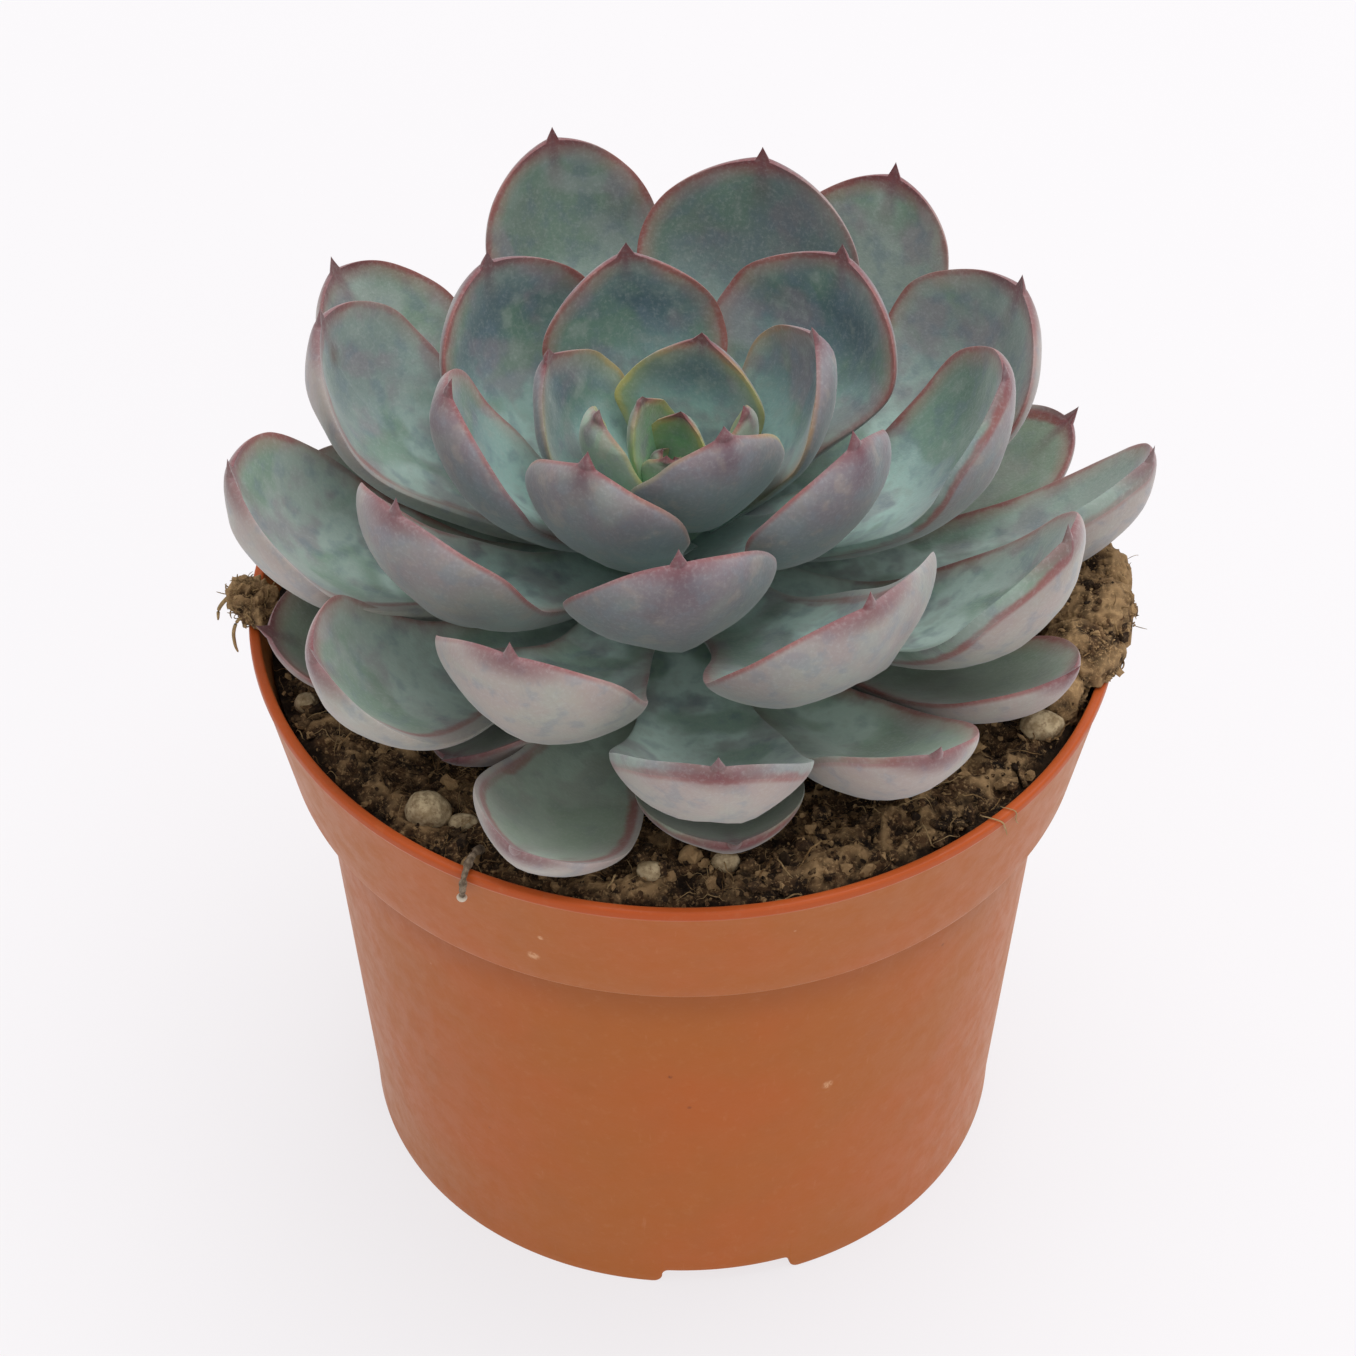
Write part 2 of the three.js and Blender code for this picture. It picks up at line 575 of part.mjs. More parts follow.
// The collar and the lip with their gap, which whatever lies over the pot's edge is cut back to.
function rimClearance() {
  const inside = POT_INSIDE.slice(1, 4).map(([radius, height]) => [radius - GAP, height]);
  const top = POT_HEIGHT + GAP;
  const outer = RIM_RADIUS + GAP;
  const bottom = inside[2][1];
  const ring = [[outer, bottom], [outer, top], [inside[0][0], top], ...inside, [outer, bottom]];
  return turned(ring, POT_SEGMENTS);
}

function grainSolid(index, grow = 0) {
  const { x, y, long, short } = GRAINS[index];
  const rest = soilHeight(x, y) + 0.15 * short;
  const radii = [long / 2 + grow, short / 2 + grow, short / 2 + grow];
  return lump([x, y, rest], radii, LUMP_SEEDS.grains + index);
}

// ---- assembly --------------------------------------------------------------------------------

// The stem, with the tight leaves of the heart that grow from its top.
function heartSolid() {
  const leaves = Array.from({ length: HEART_LEAVES }, (_, index) => leafSolid(index));
  return union([stemSolid(), ...leaves]);
}

// An outer leaf, cut back to the gap from the stem and from every younger leaf, which lies on
// top of it, so that the bases nest around the stem without touching.
function nestedLeaf(index, cleared) {
  const younger = [stemSolid(GAP), ...cleared.slice(0, index)];
  return largestBody(younger.reduce((leaf, other) => leaf.subtract(other), leafSolid(index)));
}

// The mix with its heap, hollowed where leaves, the stem and grains lie in it.
function mixSolid(cleared, rim) {
  const heap = lumps(HEAP_LUMPS, LUMP_SEEDS.heap).subtract(rim);
  const grains = GRAINS.map((_, index) => grainSolid(index, GAP));
  const hollows = [stemSolid(GAP), ...cleared, ...grains];
  return largestBody(hollows.reduce((mix, other) => mix.subtract(other), soilSolid().add(heap)));
}

function tuftSolid(rim) {
  const threads = TUFT_THREADS.map((points) => thread(points, THREAD_RADIUS));
  return largestBody(union([lumps(TUFT_LUMPS, LUMP_SEEDS.tuft), ...threads]).subtract(rim));
}

function rootletSolid() {
  const points = ROOTLET_PATH.map(([radius, azimuth, height]) => {
    const angle = radians(azimuth);
    return [radius * Math.cos(angle), radius * Math.sin(angle), height];
  });
  return thread(points, ROOTLET_RADIUS);
}

function assemble() {
  const plant = new THREE.Group();
  const add = (name, solid, color, roughness) => plant.add(piece(name, solid, color, roughness));
  const cleared = Array.from({ length: LEAF_COUNT }, (_, index) => leafSolid(index, GAP));
  const rim = rimClearance();
  add('pot', potSolid(), POT_COLOR, 0.5);
  add('potting_mix', mixSolid(cleared, rim), MIX_COLOR, 0.95);
  add('heart', heartSolid(), HEART_COLOR, 0.6);
  for (let index = HEART_LEAVES; index < LEAF_COUNT; index += 1) {
    add(`leaf_${String(index).padStart(2, '0')}`, nestedLeaf(index, cleared), LEAF_COLOR, 0.6);
  }
  GRAINS.forEach(({ name }, index) => add(name, grainSolid(index), PUMICE_COLOR, 0.9));
  add('root_tuft', tuftSolid(rim), TUFT_COLOR, 0.95);
  add('rootlet', rootletSolid(), ROOTLET_COLOR, 0.9);
  return plant;
}

export default assemble();
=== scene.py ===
import math
from itertools import product

import bpy
import numpy as np
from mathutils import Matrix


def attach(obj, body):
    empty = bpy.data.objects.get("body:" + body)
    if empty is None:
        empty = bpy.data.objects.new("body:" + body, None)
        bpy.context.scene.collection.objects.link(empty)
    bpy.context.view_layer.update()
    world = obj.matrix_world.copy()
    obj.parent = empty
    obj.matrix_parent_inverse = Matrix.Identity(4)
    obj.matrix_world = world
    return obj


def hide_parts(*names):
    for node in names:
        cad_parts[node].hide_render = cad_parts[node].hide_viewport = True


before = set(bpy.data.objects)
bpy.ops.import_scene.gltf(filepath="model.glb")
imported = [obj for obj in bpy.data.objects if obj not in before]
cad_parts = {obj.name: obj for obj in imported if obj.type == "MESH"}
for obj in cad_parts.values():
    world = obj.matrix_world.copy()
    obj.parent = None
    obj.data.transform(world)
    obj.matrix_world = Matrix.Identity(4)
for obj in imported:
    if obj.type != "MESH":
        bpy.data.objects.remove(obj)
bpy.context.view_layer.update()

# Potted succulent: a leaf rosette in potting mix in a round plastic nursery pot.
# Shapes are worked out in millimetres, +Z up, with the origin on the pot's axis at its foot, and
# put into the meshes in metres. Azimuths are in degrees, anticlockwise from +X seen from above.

MM = 0.001

# ---- camera ----------------------------------------------------------------------------------
# A long lens looks down on the pot's rim, so that the whole rosette and the foot show.

LENS = 138.0
SENSOR_WIDTH = 36.0
CAMERA_ELEVATION = 43.8
CAMERA_DISTANCE = 729
CAMERA_ASIDE = -0.7
AIM_HEIGHT = 77
NEAREST_SEEN = 10


def in_scene(name, data):
    """A new object that shows that mesh, lamp or camera."""
    thing = bpy.data.objects.new(name, data)
    bpy.context.scene.collection.objects.link(thing)
    return thing


camera_data = bpy.data.cameras.new("camera")
camera_data.lens = LENS
camera_data.sensor_width = SENSOR_WIDTH
camera_data.clip_start = NEAREST_SEEN * MM
camera = in_scene("camera", camera_data)
elevation = math.radians(CAMERA_ELEVATION)
camera.location = (
    CAMERA_ASIDE * MM,
    -CAMERA_DISTANCE * math.cos(elevation) * MM,
    (AIM_HEIGHT + CAMERA_DISTANCE * math.sin(elevation)) * MM,
)
camera.rotation_euler = (math.pi / 2 - elevation, 0, 0)
bpy.context.scene.camera = camera

# ---- pot -------------------------------------------------------------------------------------
# The nursery pot is moulded in one piece of terracotta-coloured polypropylene: a tapered body, a
# deep collar with a rolled lip, and a base that stands on a ring with three notches and has eight
# drain holes. Its satin skin has fine scuffs, specks and hair-thin scratches.

POT_HEIGHT = 92
RIM_RADIUS = 60
COLLAR_HEIGHT = 21
COLLAR_BOTTOM_RADIUS = 55.7
BODY_TOP_RADIUS = 51.6
FOOT_RADIUS = 45.6
POT_WALL = 1.3
LIP_WIDTH = 1.5
LIP_DEPTH = 1.4
FOOT_RING = 1.8
BASE_RECESS = 3
BASE_THICKNESS = 1.5
POT_STEP = 1.0
WALL_STEP = 2.5
NOTCH_AZIMUTHS = (38, 158, 278)
NOTCH_ANGLE = 23.5
NOTCH_HEIGHT = 2.5
NOTCH_CORNER = 1.0
NOTCH_REACH = 7.0
NOTCH_MARKS = (-1.4, -0.95, -0.6, -0.3, -0.12, -0.02, 0.02, 0.15, 0.4, 0.7, 1.05)
FOOT_CORNER = 1.4
# Single marks on the wall: azimuth, height, radius and whether the mark is pale.
POT_MARKS = [
    (268, 49, 0.5, False), (271, 42, 0.45, False), (294, 42, 1.1, True), (249.5, 77, 1.2, True),
    (251, 82, 0.6, True),
]
DRAIN_COUNT = 8
DRAIN_RADIUS = 3.5
DRAIN_CIRCLE = 35
DRAIN_SIDES = 32


def smooth(x):
    """An even rise from 0 to 1 as x goes from 0 to 1, level at both ends."""
    x = np.clip(x, 0, 1)
    return x * x * (3 - 2 * x)


def turns(count):
    """Angles in even steps once round, in radians."""
    return np.linspace(0, 2 * math.pi, count, endpoint=False)


def polar(radius, turn, height):
    """Points at a distance from the axis, an angle round it in radians and a height."""
    return np.stack(np.broadcast_arrays(radius * np.cos(turn), radius * np.sin(turn), height), axis=-1)


def rounded(corners, steps=5):
    """The line through [radius, height, rounding] corners. A corner with a rounding is replaced by a
    curve that leaves one side and meets the next at that distance, or at 0.45 of a shorter side."""
    places = np.array([corner[:2] for corner in corners], float)
    line = [places[0]]
    for i in range(1, len(places) - 1):
        before = places[i - 1] - places[i]
        after = places[i + 1] - places[i]
        reach = min(corners[i][2], 0.45 * np.hypot(*before), 0.45 * np.hypot(*after))
        if reach <= 0:
            line.append(places[i])
            continue
        start = places[i] + before / np.hypot(*before) * reach
        end = places[i] + after / np.hypot(*after) * reach
        for part in np.linspace(0, 1, steps):
            line.append((1 - part) ** 2 * start + 2 * part * (1 - part) * places[i] + part**2 * end)
    line.append(places[-1])
    return np.array(line)


def evened(line, step):
    """The same line with points added, so that no stretch is longer than the step."""
    strides = np.diff(line, axis=0)
    counts = np.maximum(1, np.ceil(np.hypot(*strides.T) / step)).astype(int)
    parts = [line[i] + strides[i] * np.arange(n)[:, None] / n for i, n in enumerate(counts)]
    return np.concatenate(parts + [line[-1:]])


def closed_skin(first, rings, last):
    """Points and faces of a closed skin over rings of points, an array of rows by columns by 3, with
    one point at each end. Rings that turn anticlockwise seen from the last point face outwards."""
    rows, columns = rings.shape[:2]
    points = np.concatenate([[first], rings.reshape(-1, 3), [last]])
    here = 1 + np.arange(rows * columns).reshape(rows, columns)
    beside = np.roll(here, -1, axis=1)
    quads = np.stack([here[:-1], beside[:-1], beside[1:], here[1:]], axis=-1).reshape(-1, 4)
    start = np.stack([np.zeros(columns, int), beside[0], here[0]], axis=-1)
    end = np.stack([here[-1], beside[-1], np.full(columns, len(points) - 1)], axis=-1)
    return points, quads.tolist() + start.tolist() + end.tolist()


def copies(faces, count, each):
    """The faces of so many copies of a shape that has that many points each."""
    return [[corner + n * each for corner in face] for n in range(count) for face in faces]


def new_mesh(name, points, faces):
    """A mesh of points in millimetres."""
    mesh = bpy.data.meshes.new(name)
    mesh.from_pydata((np.asarray(points) * MM).tolist(), [], faces)
    return mesh


def add_piece(name, points, faces, material, slot, *nodes, **values):
    """A smooth mesh that rides on the part, with named values at its points."""
    mesh = new_mesh(name, points, faces)
    mesh.shade_smooth()
    for key, data in values.items():
        attribute = mesh.attributes.new(key, "FLOAT", "POINT")
        attribute.data.foreach_set("value", np.zeros(len(points), np.float32) + np.float32(data))
    mesh.materials.append(material)
    piece = in_scene(name, mesh)
    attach(piece, "root")
    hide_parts(*nodes)
    return piece


def linear(red, green, blue):
    """A colour given as it shows on a screen, from 0 to 255, as the shader's linear colour."""
    shares = np.array([red, green, blue]) / 255
    values = np.where(shares <= 0.04045, shares / 12.92, ((shares + 0.055) / 1.055) ** 2.4)
    return (*values.tolist(), 1.0)


class Finish:
    """A Principled material put together node by node. Sizes of patterns are in millimetres."""

    def __init__(self, name):
        self.material = bpy.data.materials.new(name)
        self.material.use_nodes = True
        self.tree = self.material.node_tree
        self.shader = self.tree.nodes["Principled BSDF"]
        self.place = self.node("ShaderNodeTexCoord").outputs["Object"]

    def node(self, kind, inputs=None, **settings):
        """One node with its settings, its inputs set to values or joined to other outputs."""
        node = self.tree.nodes.new(kind)
        for key, value in settings.items():
            setattr(node, key, value)
        for key, value in (inputs or {}).items():
            self.feed(node.inputs[key], value)
        return node

    def feed(self, socket, value):
        """Joins an output to an input or sets the input, a colour as it shows on a screen."""
        if isinstance(value, bpy.types.NodeSocket):
            self.tree.links.new(value, socket)
        else:
            socket.default_value = linear(*value) if socket.type == "RGBA" else value

    def calc(self, operation, a, b=0.0):
        return self.node("ShaderNodeMath", {0: a, 1: b}, operation=operation).outputs[0]

    def times(self, a, b):
        return self.calc("MULTIPLY", a, b)

    def ramp(self, value, low, high, start=0.0, end=1.0):
        """Goes smoothly from start to end as the value goes from low to high."""
        inputs = {"Value": value, "From Min": low, "From Max": high, "To Min": start, "To Max": end}
        return self.node("ShaderNodeMapRange", inputs, interpolation_type="SMOOTHSTEP").outputs[0]

    def mix(self, share, a, b):
        return self.node("ShaderNodeMix", {0: share, 6: a, 7: b}, data_type="RGBA").outputs[2]

    def coats(self, color, *coats):
        """Lays coats over a colour, each given as its share and its own colour."""
        for share, tone in coats:
            color = self.mix(share, color, tone)
        return color

    def read(self, name):
        """The named value that the mesh holds at each point."""
        return self.node("ShaderNodeAttribute", attribute_name=name).outputs["Fac"]

    def stretched(self, scale, turn):
        """The place on the object, turned and then scaled by each axis."""
        inputs = {"Vector": self.place, "Scale": scale, "Rotation": turn}
        return self.node("ShaderNodeMapping", inputs).outputs[0]

    def noise(self, size, detail=2.0, roughness=0.5, place=None, twist=0.0):
        """Cloudy values from 0 to 1 with features of that size."""
        inputs = {"Vector": place or self.place, "Scale": 1 / (size * MM), "Detail": detail}
        inputs.update({"Roughness": roughness, "Distortion": twist})
        return self.node("ShaderNodeTexNoise", inputs).outputs["Fac"]

    def spots(self, spacing, radius, share, seed=0.0):
        """Round spots: cells of that spacing, a share of which hold one spot of that radius."""
        moved = self.node("ShaderNodeVectorMath", {0: self.place, 1: (seed, seed, seed)})
        inputs = {"Vector": moved.outputs[0], "Scale": 1 / (spacing * MM)}
        cells = self.node("ShaderNodeTexVoronoi", inputs)
        edge = radius / spacing
        near = self.ramp(cells.outputs["Distance"], edge, edge * 0.4)
        draw = self.node("ShaderNodeSeparateColor", {0: cells.outputs["Color"]}).outputs[0]
        return self.times(near, self.calc("LESS_THAN", draw, share))

    def close(self, color, roughness, height=None, depth=0.1, even=None):
        """Joins colour, roughness and relief, and sets the shader's even values."""
        self.feed(self.shader.inputs["Base Color"], color)
        self.feed(self.shader.inputs["Roughness"], roughness)
        if height is not None:
            inputs = {"Height": height, "Distance": depth * MM, "Strength": 1.0}
            relief = self.node("ShaderNodeBump", inputs)
            self.feed(self.shader.inputs["Normal"], relief.outputs[0])
        for key, value in (even or {}).items():
            self.feed(self.shader.inputs[key], value)
        return self.material


def pot_plastic():
    """Terracotta-coloured polypropylene: an even warm brown, redder on the lip and in patches, with
    painted shade under the collar, scuffed paler along fine streaks, with pale and dark specks."""
    finish = Finish("terracotta polypropylene")
    noise, ramp, times = finish.noise, finish.ramp, finish.times
    height = finish.node("ShaderNodeSeparateXYZ", {0: finish.place}).outputs[2]
    # Painted shade: a band on the body just under the collar's overhang, from 58 to 71.5 mm high.
    shaded = times(ramp(height, 0.058, 0.068), ramp(height, 0.0715, 0.0705))
    long_scuffs = finish.stretched((1, 1, 0.1), (0.3, 0.15, 0))
    color = finish.coats(
        (158, 85, 27),
        (ramp(noise(26, 3), 0.35, 0.7), (163, 82, 26)),
        (ramp(noise(5, 4), 0.45, 0.8, 0, 0.25), (147, 80, 30)),
        (ramp(height, 0.0900, 0.0908, 0, 0.8), (168, 70, 26)),
        # Painted shade under the collar.
        (times(shaded, 0.3), (104, 52, 24)),
        (ramp(noise(1.6, 5, 0.7), 0.52, 0.75, 0, 0.1), (186, 138, 100)),
        (ramp(noise(0.9, 3, 0.6, long_scuffs), 0.66, 0.8, 0, 0.12), (196, 146, 112)),
        (times(finish.spots(7, 0.42, 0.16), 0.55), (224, 190, 160)),
        (times(finish.spots(9, 0.4, 0.12, 0.37), 0.6), (110, 58, 32)),
    )
    broken = ramp(noise(0.6, 3, 0.7), 0.4, 0.6, 0.15, 0.7)
    shoulder = POT_HEIGHT - COLLAR_HEIGHT
    levels = [0, shoulder, shoulder, POT_HEIGHT]
    walls = [FOOT_RADIUS, BODY_TOP_RADIUS, COLLAR_BOTTOM_RADIUS, RIM_RADIUS]
    for azimuth, level, radius, is_pale in POT_MARKS:
        spot = polar(np.interp(level, levels, walls), math.radians(azimuth), level) * MM
        off = finish.node("ShaderNodeVectorMath", {0: finish.place, 1: spot}, operation="DISTANCE")
        mark = times(ramp(off.outputs["Value"], radius * MM, 0.3 * radius * MM), broken)
        color = finish.mix(mark, color, (206, 158, 118) if is_pale else (88, 40, 22))
    sheen = ramp(noise(3, 4, 0.65), 0.3, 0.75, 0.36, 0.5)
    relief = finish.calc("ADD", noise(0.7, 3), times(noise(14, 2), 2.0))
    even = {"Specular IOR Level": 0.2, "Sheen Weight": 0.1, "Sheen Tint": (255, 200, 140)}
    return finish.close(color, sheen, relief, 0.02, even)


def notch_lift(azimuths):
    """How far the foot ring is cut away at each azimuth: nothing outside the notches, and their full
    height inside them, with quarter-round corners at the top and at the foot."""
    lift = np.zeros(len(azimuths))
    for middle in NOTCH_AZIMUTHS:
        off = np.abs((azimuths - middle + 180) % 360 - 180)
        inside = np.radians(NOTCH_ANGLE / 2 - off) * FOOT_RADIUS
        into = np.clip(inside, 0, NOTCH_CORNER)
        corner = NOTCH_HEIGHT - NOTCH_CORNER + np.sqrt(NOTCH_CORNER**2 - (NOTCH_CORNER - into) ** 2)
        lift = np.maximum(lift, np.where(inside > 0, corner, 0))
        beyond = np.clip(FOOT_CORNER + inside, 0, FOOT_CORNER)
        lift = np.maximum(lift, FOOT_CORNER - np.sqrt(FOOT_CORNER**2 - beyond**2))
    return lift


def pot_skin():
    """The outline of the pot's wall, turned about the axis. Near the foot, heights are squeezed
    upwards by the notches, the less the higher they are."""
    shoulder = POT_HEIGHT - COLLAR_HEIGHT
    underside = [[0, BASE_RECESS, 0], [FOOT_RADIUS - FOOT_RING, BASE_RECESS, 0.3]]
    foot = [[FOOT_RADIUS - FOOT_RING, 0, 0.3], [FOOT_RADIUS, 0, 0.4]]
    outside = [
        [FOOT_RADIUS + 0.2, BASE_RECESS + BASE_THICKNESS, 1.5],
        [BODY_TOP_RADIUS, shoulder - 2.6, 1.2],
        [BODY_TOP_RADIUS + 1, shoulder - 0.4, 1.2],
        [COLLAR_BOTTOM_RADIUS - 0.1, shoulder, 0.9],
        [RIM_RADIUS - 0.3, POT_HEIGHT - LIP_DEPTH - 0.3, 0.3],
        [RIM_RADIUS, POT_HEIGHT - LIP_DEPTH + 0.1, 0.3],
        [RIM_RADIUS - 0.05, POT_HEIGHT - 0.05, 0.5],
    ]
    inside = [
        [RIM_RADIUS - LIP_WIDTH, POT_HEIGHT - 0.05, 0.5],
        [RIM_RADIUS - LIP_WIDTH, POT_HEIGHT - LIP_DEPTH, 0.6],
        [COLLAR_BOTTOM_RADIUS - POT_WALL, shoulder + POT_WALL + 0.8, 1],
        [BODY_TOP_RADIUS - POT_WALL + 1, shoulder + POT_WALL - 0.4, 1],
        [BODY_TOP_RADIUS - POT_WALL, shoulder - 2, 1],
        [FOOT_RADIUS - POT_WALL + 0.1, BASE_RECESS + BASE_THICKNESS, 1.2],
        [0, BASE_RECESS + BASE_THICKNESS, 0],
    ]
    line = evened(rounded(underside + foot + outside + inside), WALL_STEP)
    off = NOTCH_ANGLE / 2 - np.degrees(np.array(NOTCH_MARKS) / FOOT_RADIUS)
    marks = [middle + side * off for middle in NOTCH_AZIMUTHS for side in (-1, 1)]
    azimuths = np.unique(np.concatenate([np.arange(0, 360, POT_STEP), *marks]) % 360)
    turn = np.radians(azimuths)
    radius, height = line[1:-1, 0, None], line[1:-1, 1, None]
    half_way = np.argmax(line[1:-1, 1])
    outer = (np.arange(len(line) - 2) <= half_way)[:, None]
    ring = (radius > FOOT_RADIUS - FOOT_RING - 0.01) & outer
    limit = np.where(radius > FOOT_RADIUS - FOOT_RING / 2, NOTCH_REACH, BASE_RECESS)
    lift = notch_lift(azimuths)[None, :] * np.clip(1 - height / limit, 0, 1) * ring
    rings = polar(radius, turn, height + lift)
    return closed_skin((0, 0, BASE_RECESS), rings, (0, 0, BASE_RECESS + BASE_THICKNESS))


def bored(piece, places, radius, middle, depth):
    """Cuts upright round holes of one radius through a piece, at the places given."""
    levels = [middle - depth / 2, middle + depth / 2]
    rings = polar(radius, turns(DRAIN_SIDES), np.array(levels)[:, None])
    hole, faces = closed_skin((0, 0, levels[0]), rings, (0, 0, levels[1]))
    points = (hole + places[:, None]).reshape(-1, 3)
    mesh = new_mesh("drain_cutter", points, copies(faces, len(places), len(hole)))
    cutter = in_scene("drain_cutter", mesh)
    cut = piece.modifiers.new("drain holes", "BOOLEAN")
    cut.object = cutter
    cut.solver = "EXACT"
    bpy.context.view_layer.update()
    whole = piece.evaluated_get(bpy.context.evaluated_depsgraph_get())
    finished = bpy.data.meshes.new_from_object(whole)
    piece.modifiers.remove(cut)
    piece.data = finished
    bpy.data.objects.remove(cutter)


pot = add_piece("pot_shell", *pot_skin(), pot_plastic(), "pot_plastic", "pot")
drains = polar(DRAIN_CIRCLE, turns(DRAIN_COUNT) + math.pi / DRAIN_COUNT, 0)
bored(pot, drains, DRAIN_RADIUS, BASE_RECESS + BASE_THICKNESS / 2, 4 * BASE_THICKNESS)

# ---- potting mix -----------------------------------------------------------------------------
# Dark peat, pressed in by hand and dried at the top: an uneven crumbly surface, lower under the
# rosette, with loose crumbs, bits of bark and tan root fibres on it, and a heap against the right
# of the rim. It fills the pot down to the base.

SOIL_LEVEL = 88.3
SOIL_TILT = 1.6
SOIL_HIGH_AZIMUTH = 310
SOIL_DISH = 4.2
SOIL_DISH_FROM = 26
SOIL_LUMP = 0.4
SOIL_EDGE = 57.0
SOIL_EDGE_DROP = 1.2
SOIL_COLUMNS = 760
SOIL_STEP = 0.5
# Relief as (size across, depth) of each cloud, and the mix's wall as (radius, height).
SOIL_RELIEF = ((6.0, 0.8), (2.8, 1.0), (1.3, 0.7), (0.65, 0.35))
SOIL_WALL = np.array([(56.4, 83), (54, 73.5), (51, 72), (50.1, 69), (44.1, 5.4), (43.3, 4.8)])
HEAP_RELIEF = ((3.7, 0.9), (1.7, 0.7), (0.8, 0.4))
HEAP_LUMPS = [
    (50.5, -17, 89.8, 4.6), (54.5, -12, 92.2, 5.4), (57.2, -6, 94.4, 5.0),
    (53.5, -3, 92.6, 6.0), (56.5, 2, 93.6, 5.2), (54.3, 7.5, 90.8, 4.4),
]


def scatter_hash(cells, seed):
    """A number from -1 to 1 for each whole-numbered place, the same each time."""
    mixed = np.sin(cells @ np.array([127.1, 311.7, 74.7]) + seed * 53.13) * 43758.5453
    return 2 * (mixed - np.floor(mixed)) - 1


def cloud(points, size, seed):
    """Smooth random values from -1 to 1: those at the eight corners of a cell of that size, blended
    by how near the point is to each."""
    scaled = np.asarray(points, float) / size
    low = np.floor(scaled)
    part = smooth(scaled - low)
    total = np.zeros(scaled.shape[:-1])
    for corner in product((0, 1), repeat=3):
        weights = np.where(np.array(corner), part, 1 - part).prod(axis=-1)
        total += weights * scatter_hash(low + corner, seed)
    return total


def crumbled(points, relief, seed):
    """Clouds of several sizes added up, sharpened so that crumbs are round and gaps are narrow."""
    return sum(
        size * (0.5 - np.abs(cloud(points, step, seed + i)) ** 0.8)
        for i, (step, size) in enumerate(relief)
    )


def mix_height(x, y):
    """Height of the pressed mix: low under the rosette, a little higher at one side, soft lumps."""
    away = np.hypot(x, y)
    azimuth = np.arctan2(y, x)
    dish = SOIL_DISH * (1 - smooth(away / SOIL_DISH_FROM - 1))
    tilt = SOIL_TILT * (away / RIM_RADIUS) * np.cos(azimuth - math.radians(SOIL_HIGH_AZIMUTH))
    lumps = np.sin(x * 0.83 + 1.3) * np.cos(y * 0.71) + np.sin(x * 0.37 - y * 0.52 + 2)
    return SOIL_LEVEL - dish + tilt + SOIL_LUMP * lumps


def crumb_height(x, y):
    """The pressed height with the relief of the crumbs."""
    flat = np.stack([x, y, np.zeros_like(x)], axis=-1)
    return mix_height(x, y) + crumbled(flat, SOIL_RELIEF, 0)


def peat(name, dark, middle, pale, pale_share):
    """Moist peat: near-black to dark brown in clouds, with tan flecks of fibre. The tint that each
    crumb holds moves it between dark and pale; where the tint follows the relief, on the bed and the
    lumps, the gaps between crumbs are painted near-black as shade."""
    finish = Finish(name)
    noise, ramp = finish.noise, finish.ramp
    tint = finish.read("tint")
    color = finish.coats(
        dark,
        (ramp(noise(2.4, 5, 0.65), 0.36, 0.66), middle),
        (ramp(noise(4.5, 5, 0.7), 0.5, 0.62, 0, 0.5 * pale_share), pale),
        (ramp(noise(0.55, 4, 0.7), 0.52, 0.64, 0, pale_share), pale),
        (ramp(tint, 0.5, 1.0, 0, 0.8), pale),
        # Painted shade: where the tint follows the relief, the gaps between crumbs are darkened.
        (ramp(tint, 0.5, 0.05, 0, 0.9), dark),
    )
    return finish.close(color, 0.95, noise(0.5, 6, 0.75), 0.5, {"Specular IOR Level": 0.2})


peat_mix = peat("moist peat", (32, 23, 17), (100, 74, 50), (188, 154, 110), 0.66)
fibre_tan = peat("dry fibre", (96, 70, 42), (146, 114, 74), (196, 168, 122), 0.5)


def mix_body():
    """The crumbled top over rings of growing radius, then the wall down inside the pot to its floor."""
    turn = -turns(SOIL_COLUMNS)
    middle = np.linspace(2, SOIL_DISH_FROM, 16)
    outside = np.arange(SOIL_DISH_FROM + SOIL_STEP, SOIL_EDGE, SOIL_STEP)
    radii = np.concatenate([middle, outside, [SOIL_EDGE]])[:, None]
    top = polar(radii, turn, 0.0)
    drop = SOIL_EDGE_DROP * smooth((radii - SOIL_EDGE + 3) / 3)
    top[..., 2] = crumb_height(top[..., 0], top[..., 1]) - drop
    sides = polar(SOIL_WALL[:, :1], turn, SOIL_WALL[:, 1:])
    summit = crumb_height(np.zeros(1), np.zeros(1))[0]
    return closed_skin((0, 0, summit), np.concatenate([top, sides]), (0, 0, SOIL_WALL[-1, 1]))


points, faces = mix_body()
# The tint follows the relief: low in the gaps between crumbs, for painted shade there, and high on the
# raised crumbs, which are paler.
raised = points[:, 2] - mix_height(points[:, 0], points[:, 1])
tint = np.clip(0.46 + 0.5 * raised, 0, 1)
add_piece("mix_bed", points, faces, peat_mix, "peat_mix", "potting_mix", tint=tint)


def ball(rows, columns):
    """Directions of the points of a ball: a first pole, rings from it to the other, and that pole."""
    lean = np.linspace(0, math.pi, rows + 2)[1:-1, None]
    return closed_skin((0, 0, -1), polar(np.sin(lean), turns(columns), -np.cos(lean)), (0, 0, 1))


def clod(center, radii, relief, seed, rows, columns):
    """A lump of crumbs: a ball whose points are moved by crumbled relief, and a tint that follows that
    relief: low in the gaps, for painted shade there, and high on the crumbs, which are paler."""
    ways, faces = ball(rows, columns)
    points = np.asarray(center) + ways * np.asarray(radii)
    push = crumbled(points, relief, seed)
    tint = np.clip(0.6 + 0.75 * push / sum(size for _, size in relief), 0, 1)
    return points + ways * push[:, None], faces, tint


def joined(parts):
    """One list of points and faces from several."""
    counts = np.cumsum([0] + [len(points) for points, _ in parts])
    faces = [
        [corner + int(first) for corner in face]
        for first, (_, own) in zip(counts, parts)
        for face in own
    ]
    return np.concatenate([points for points, _ in parts]), faces


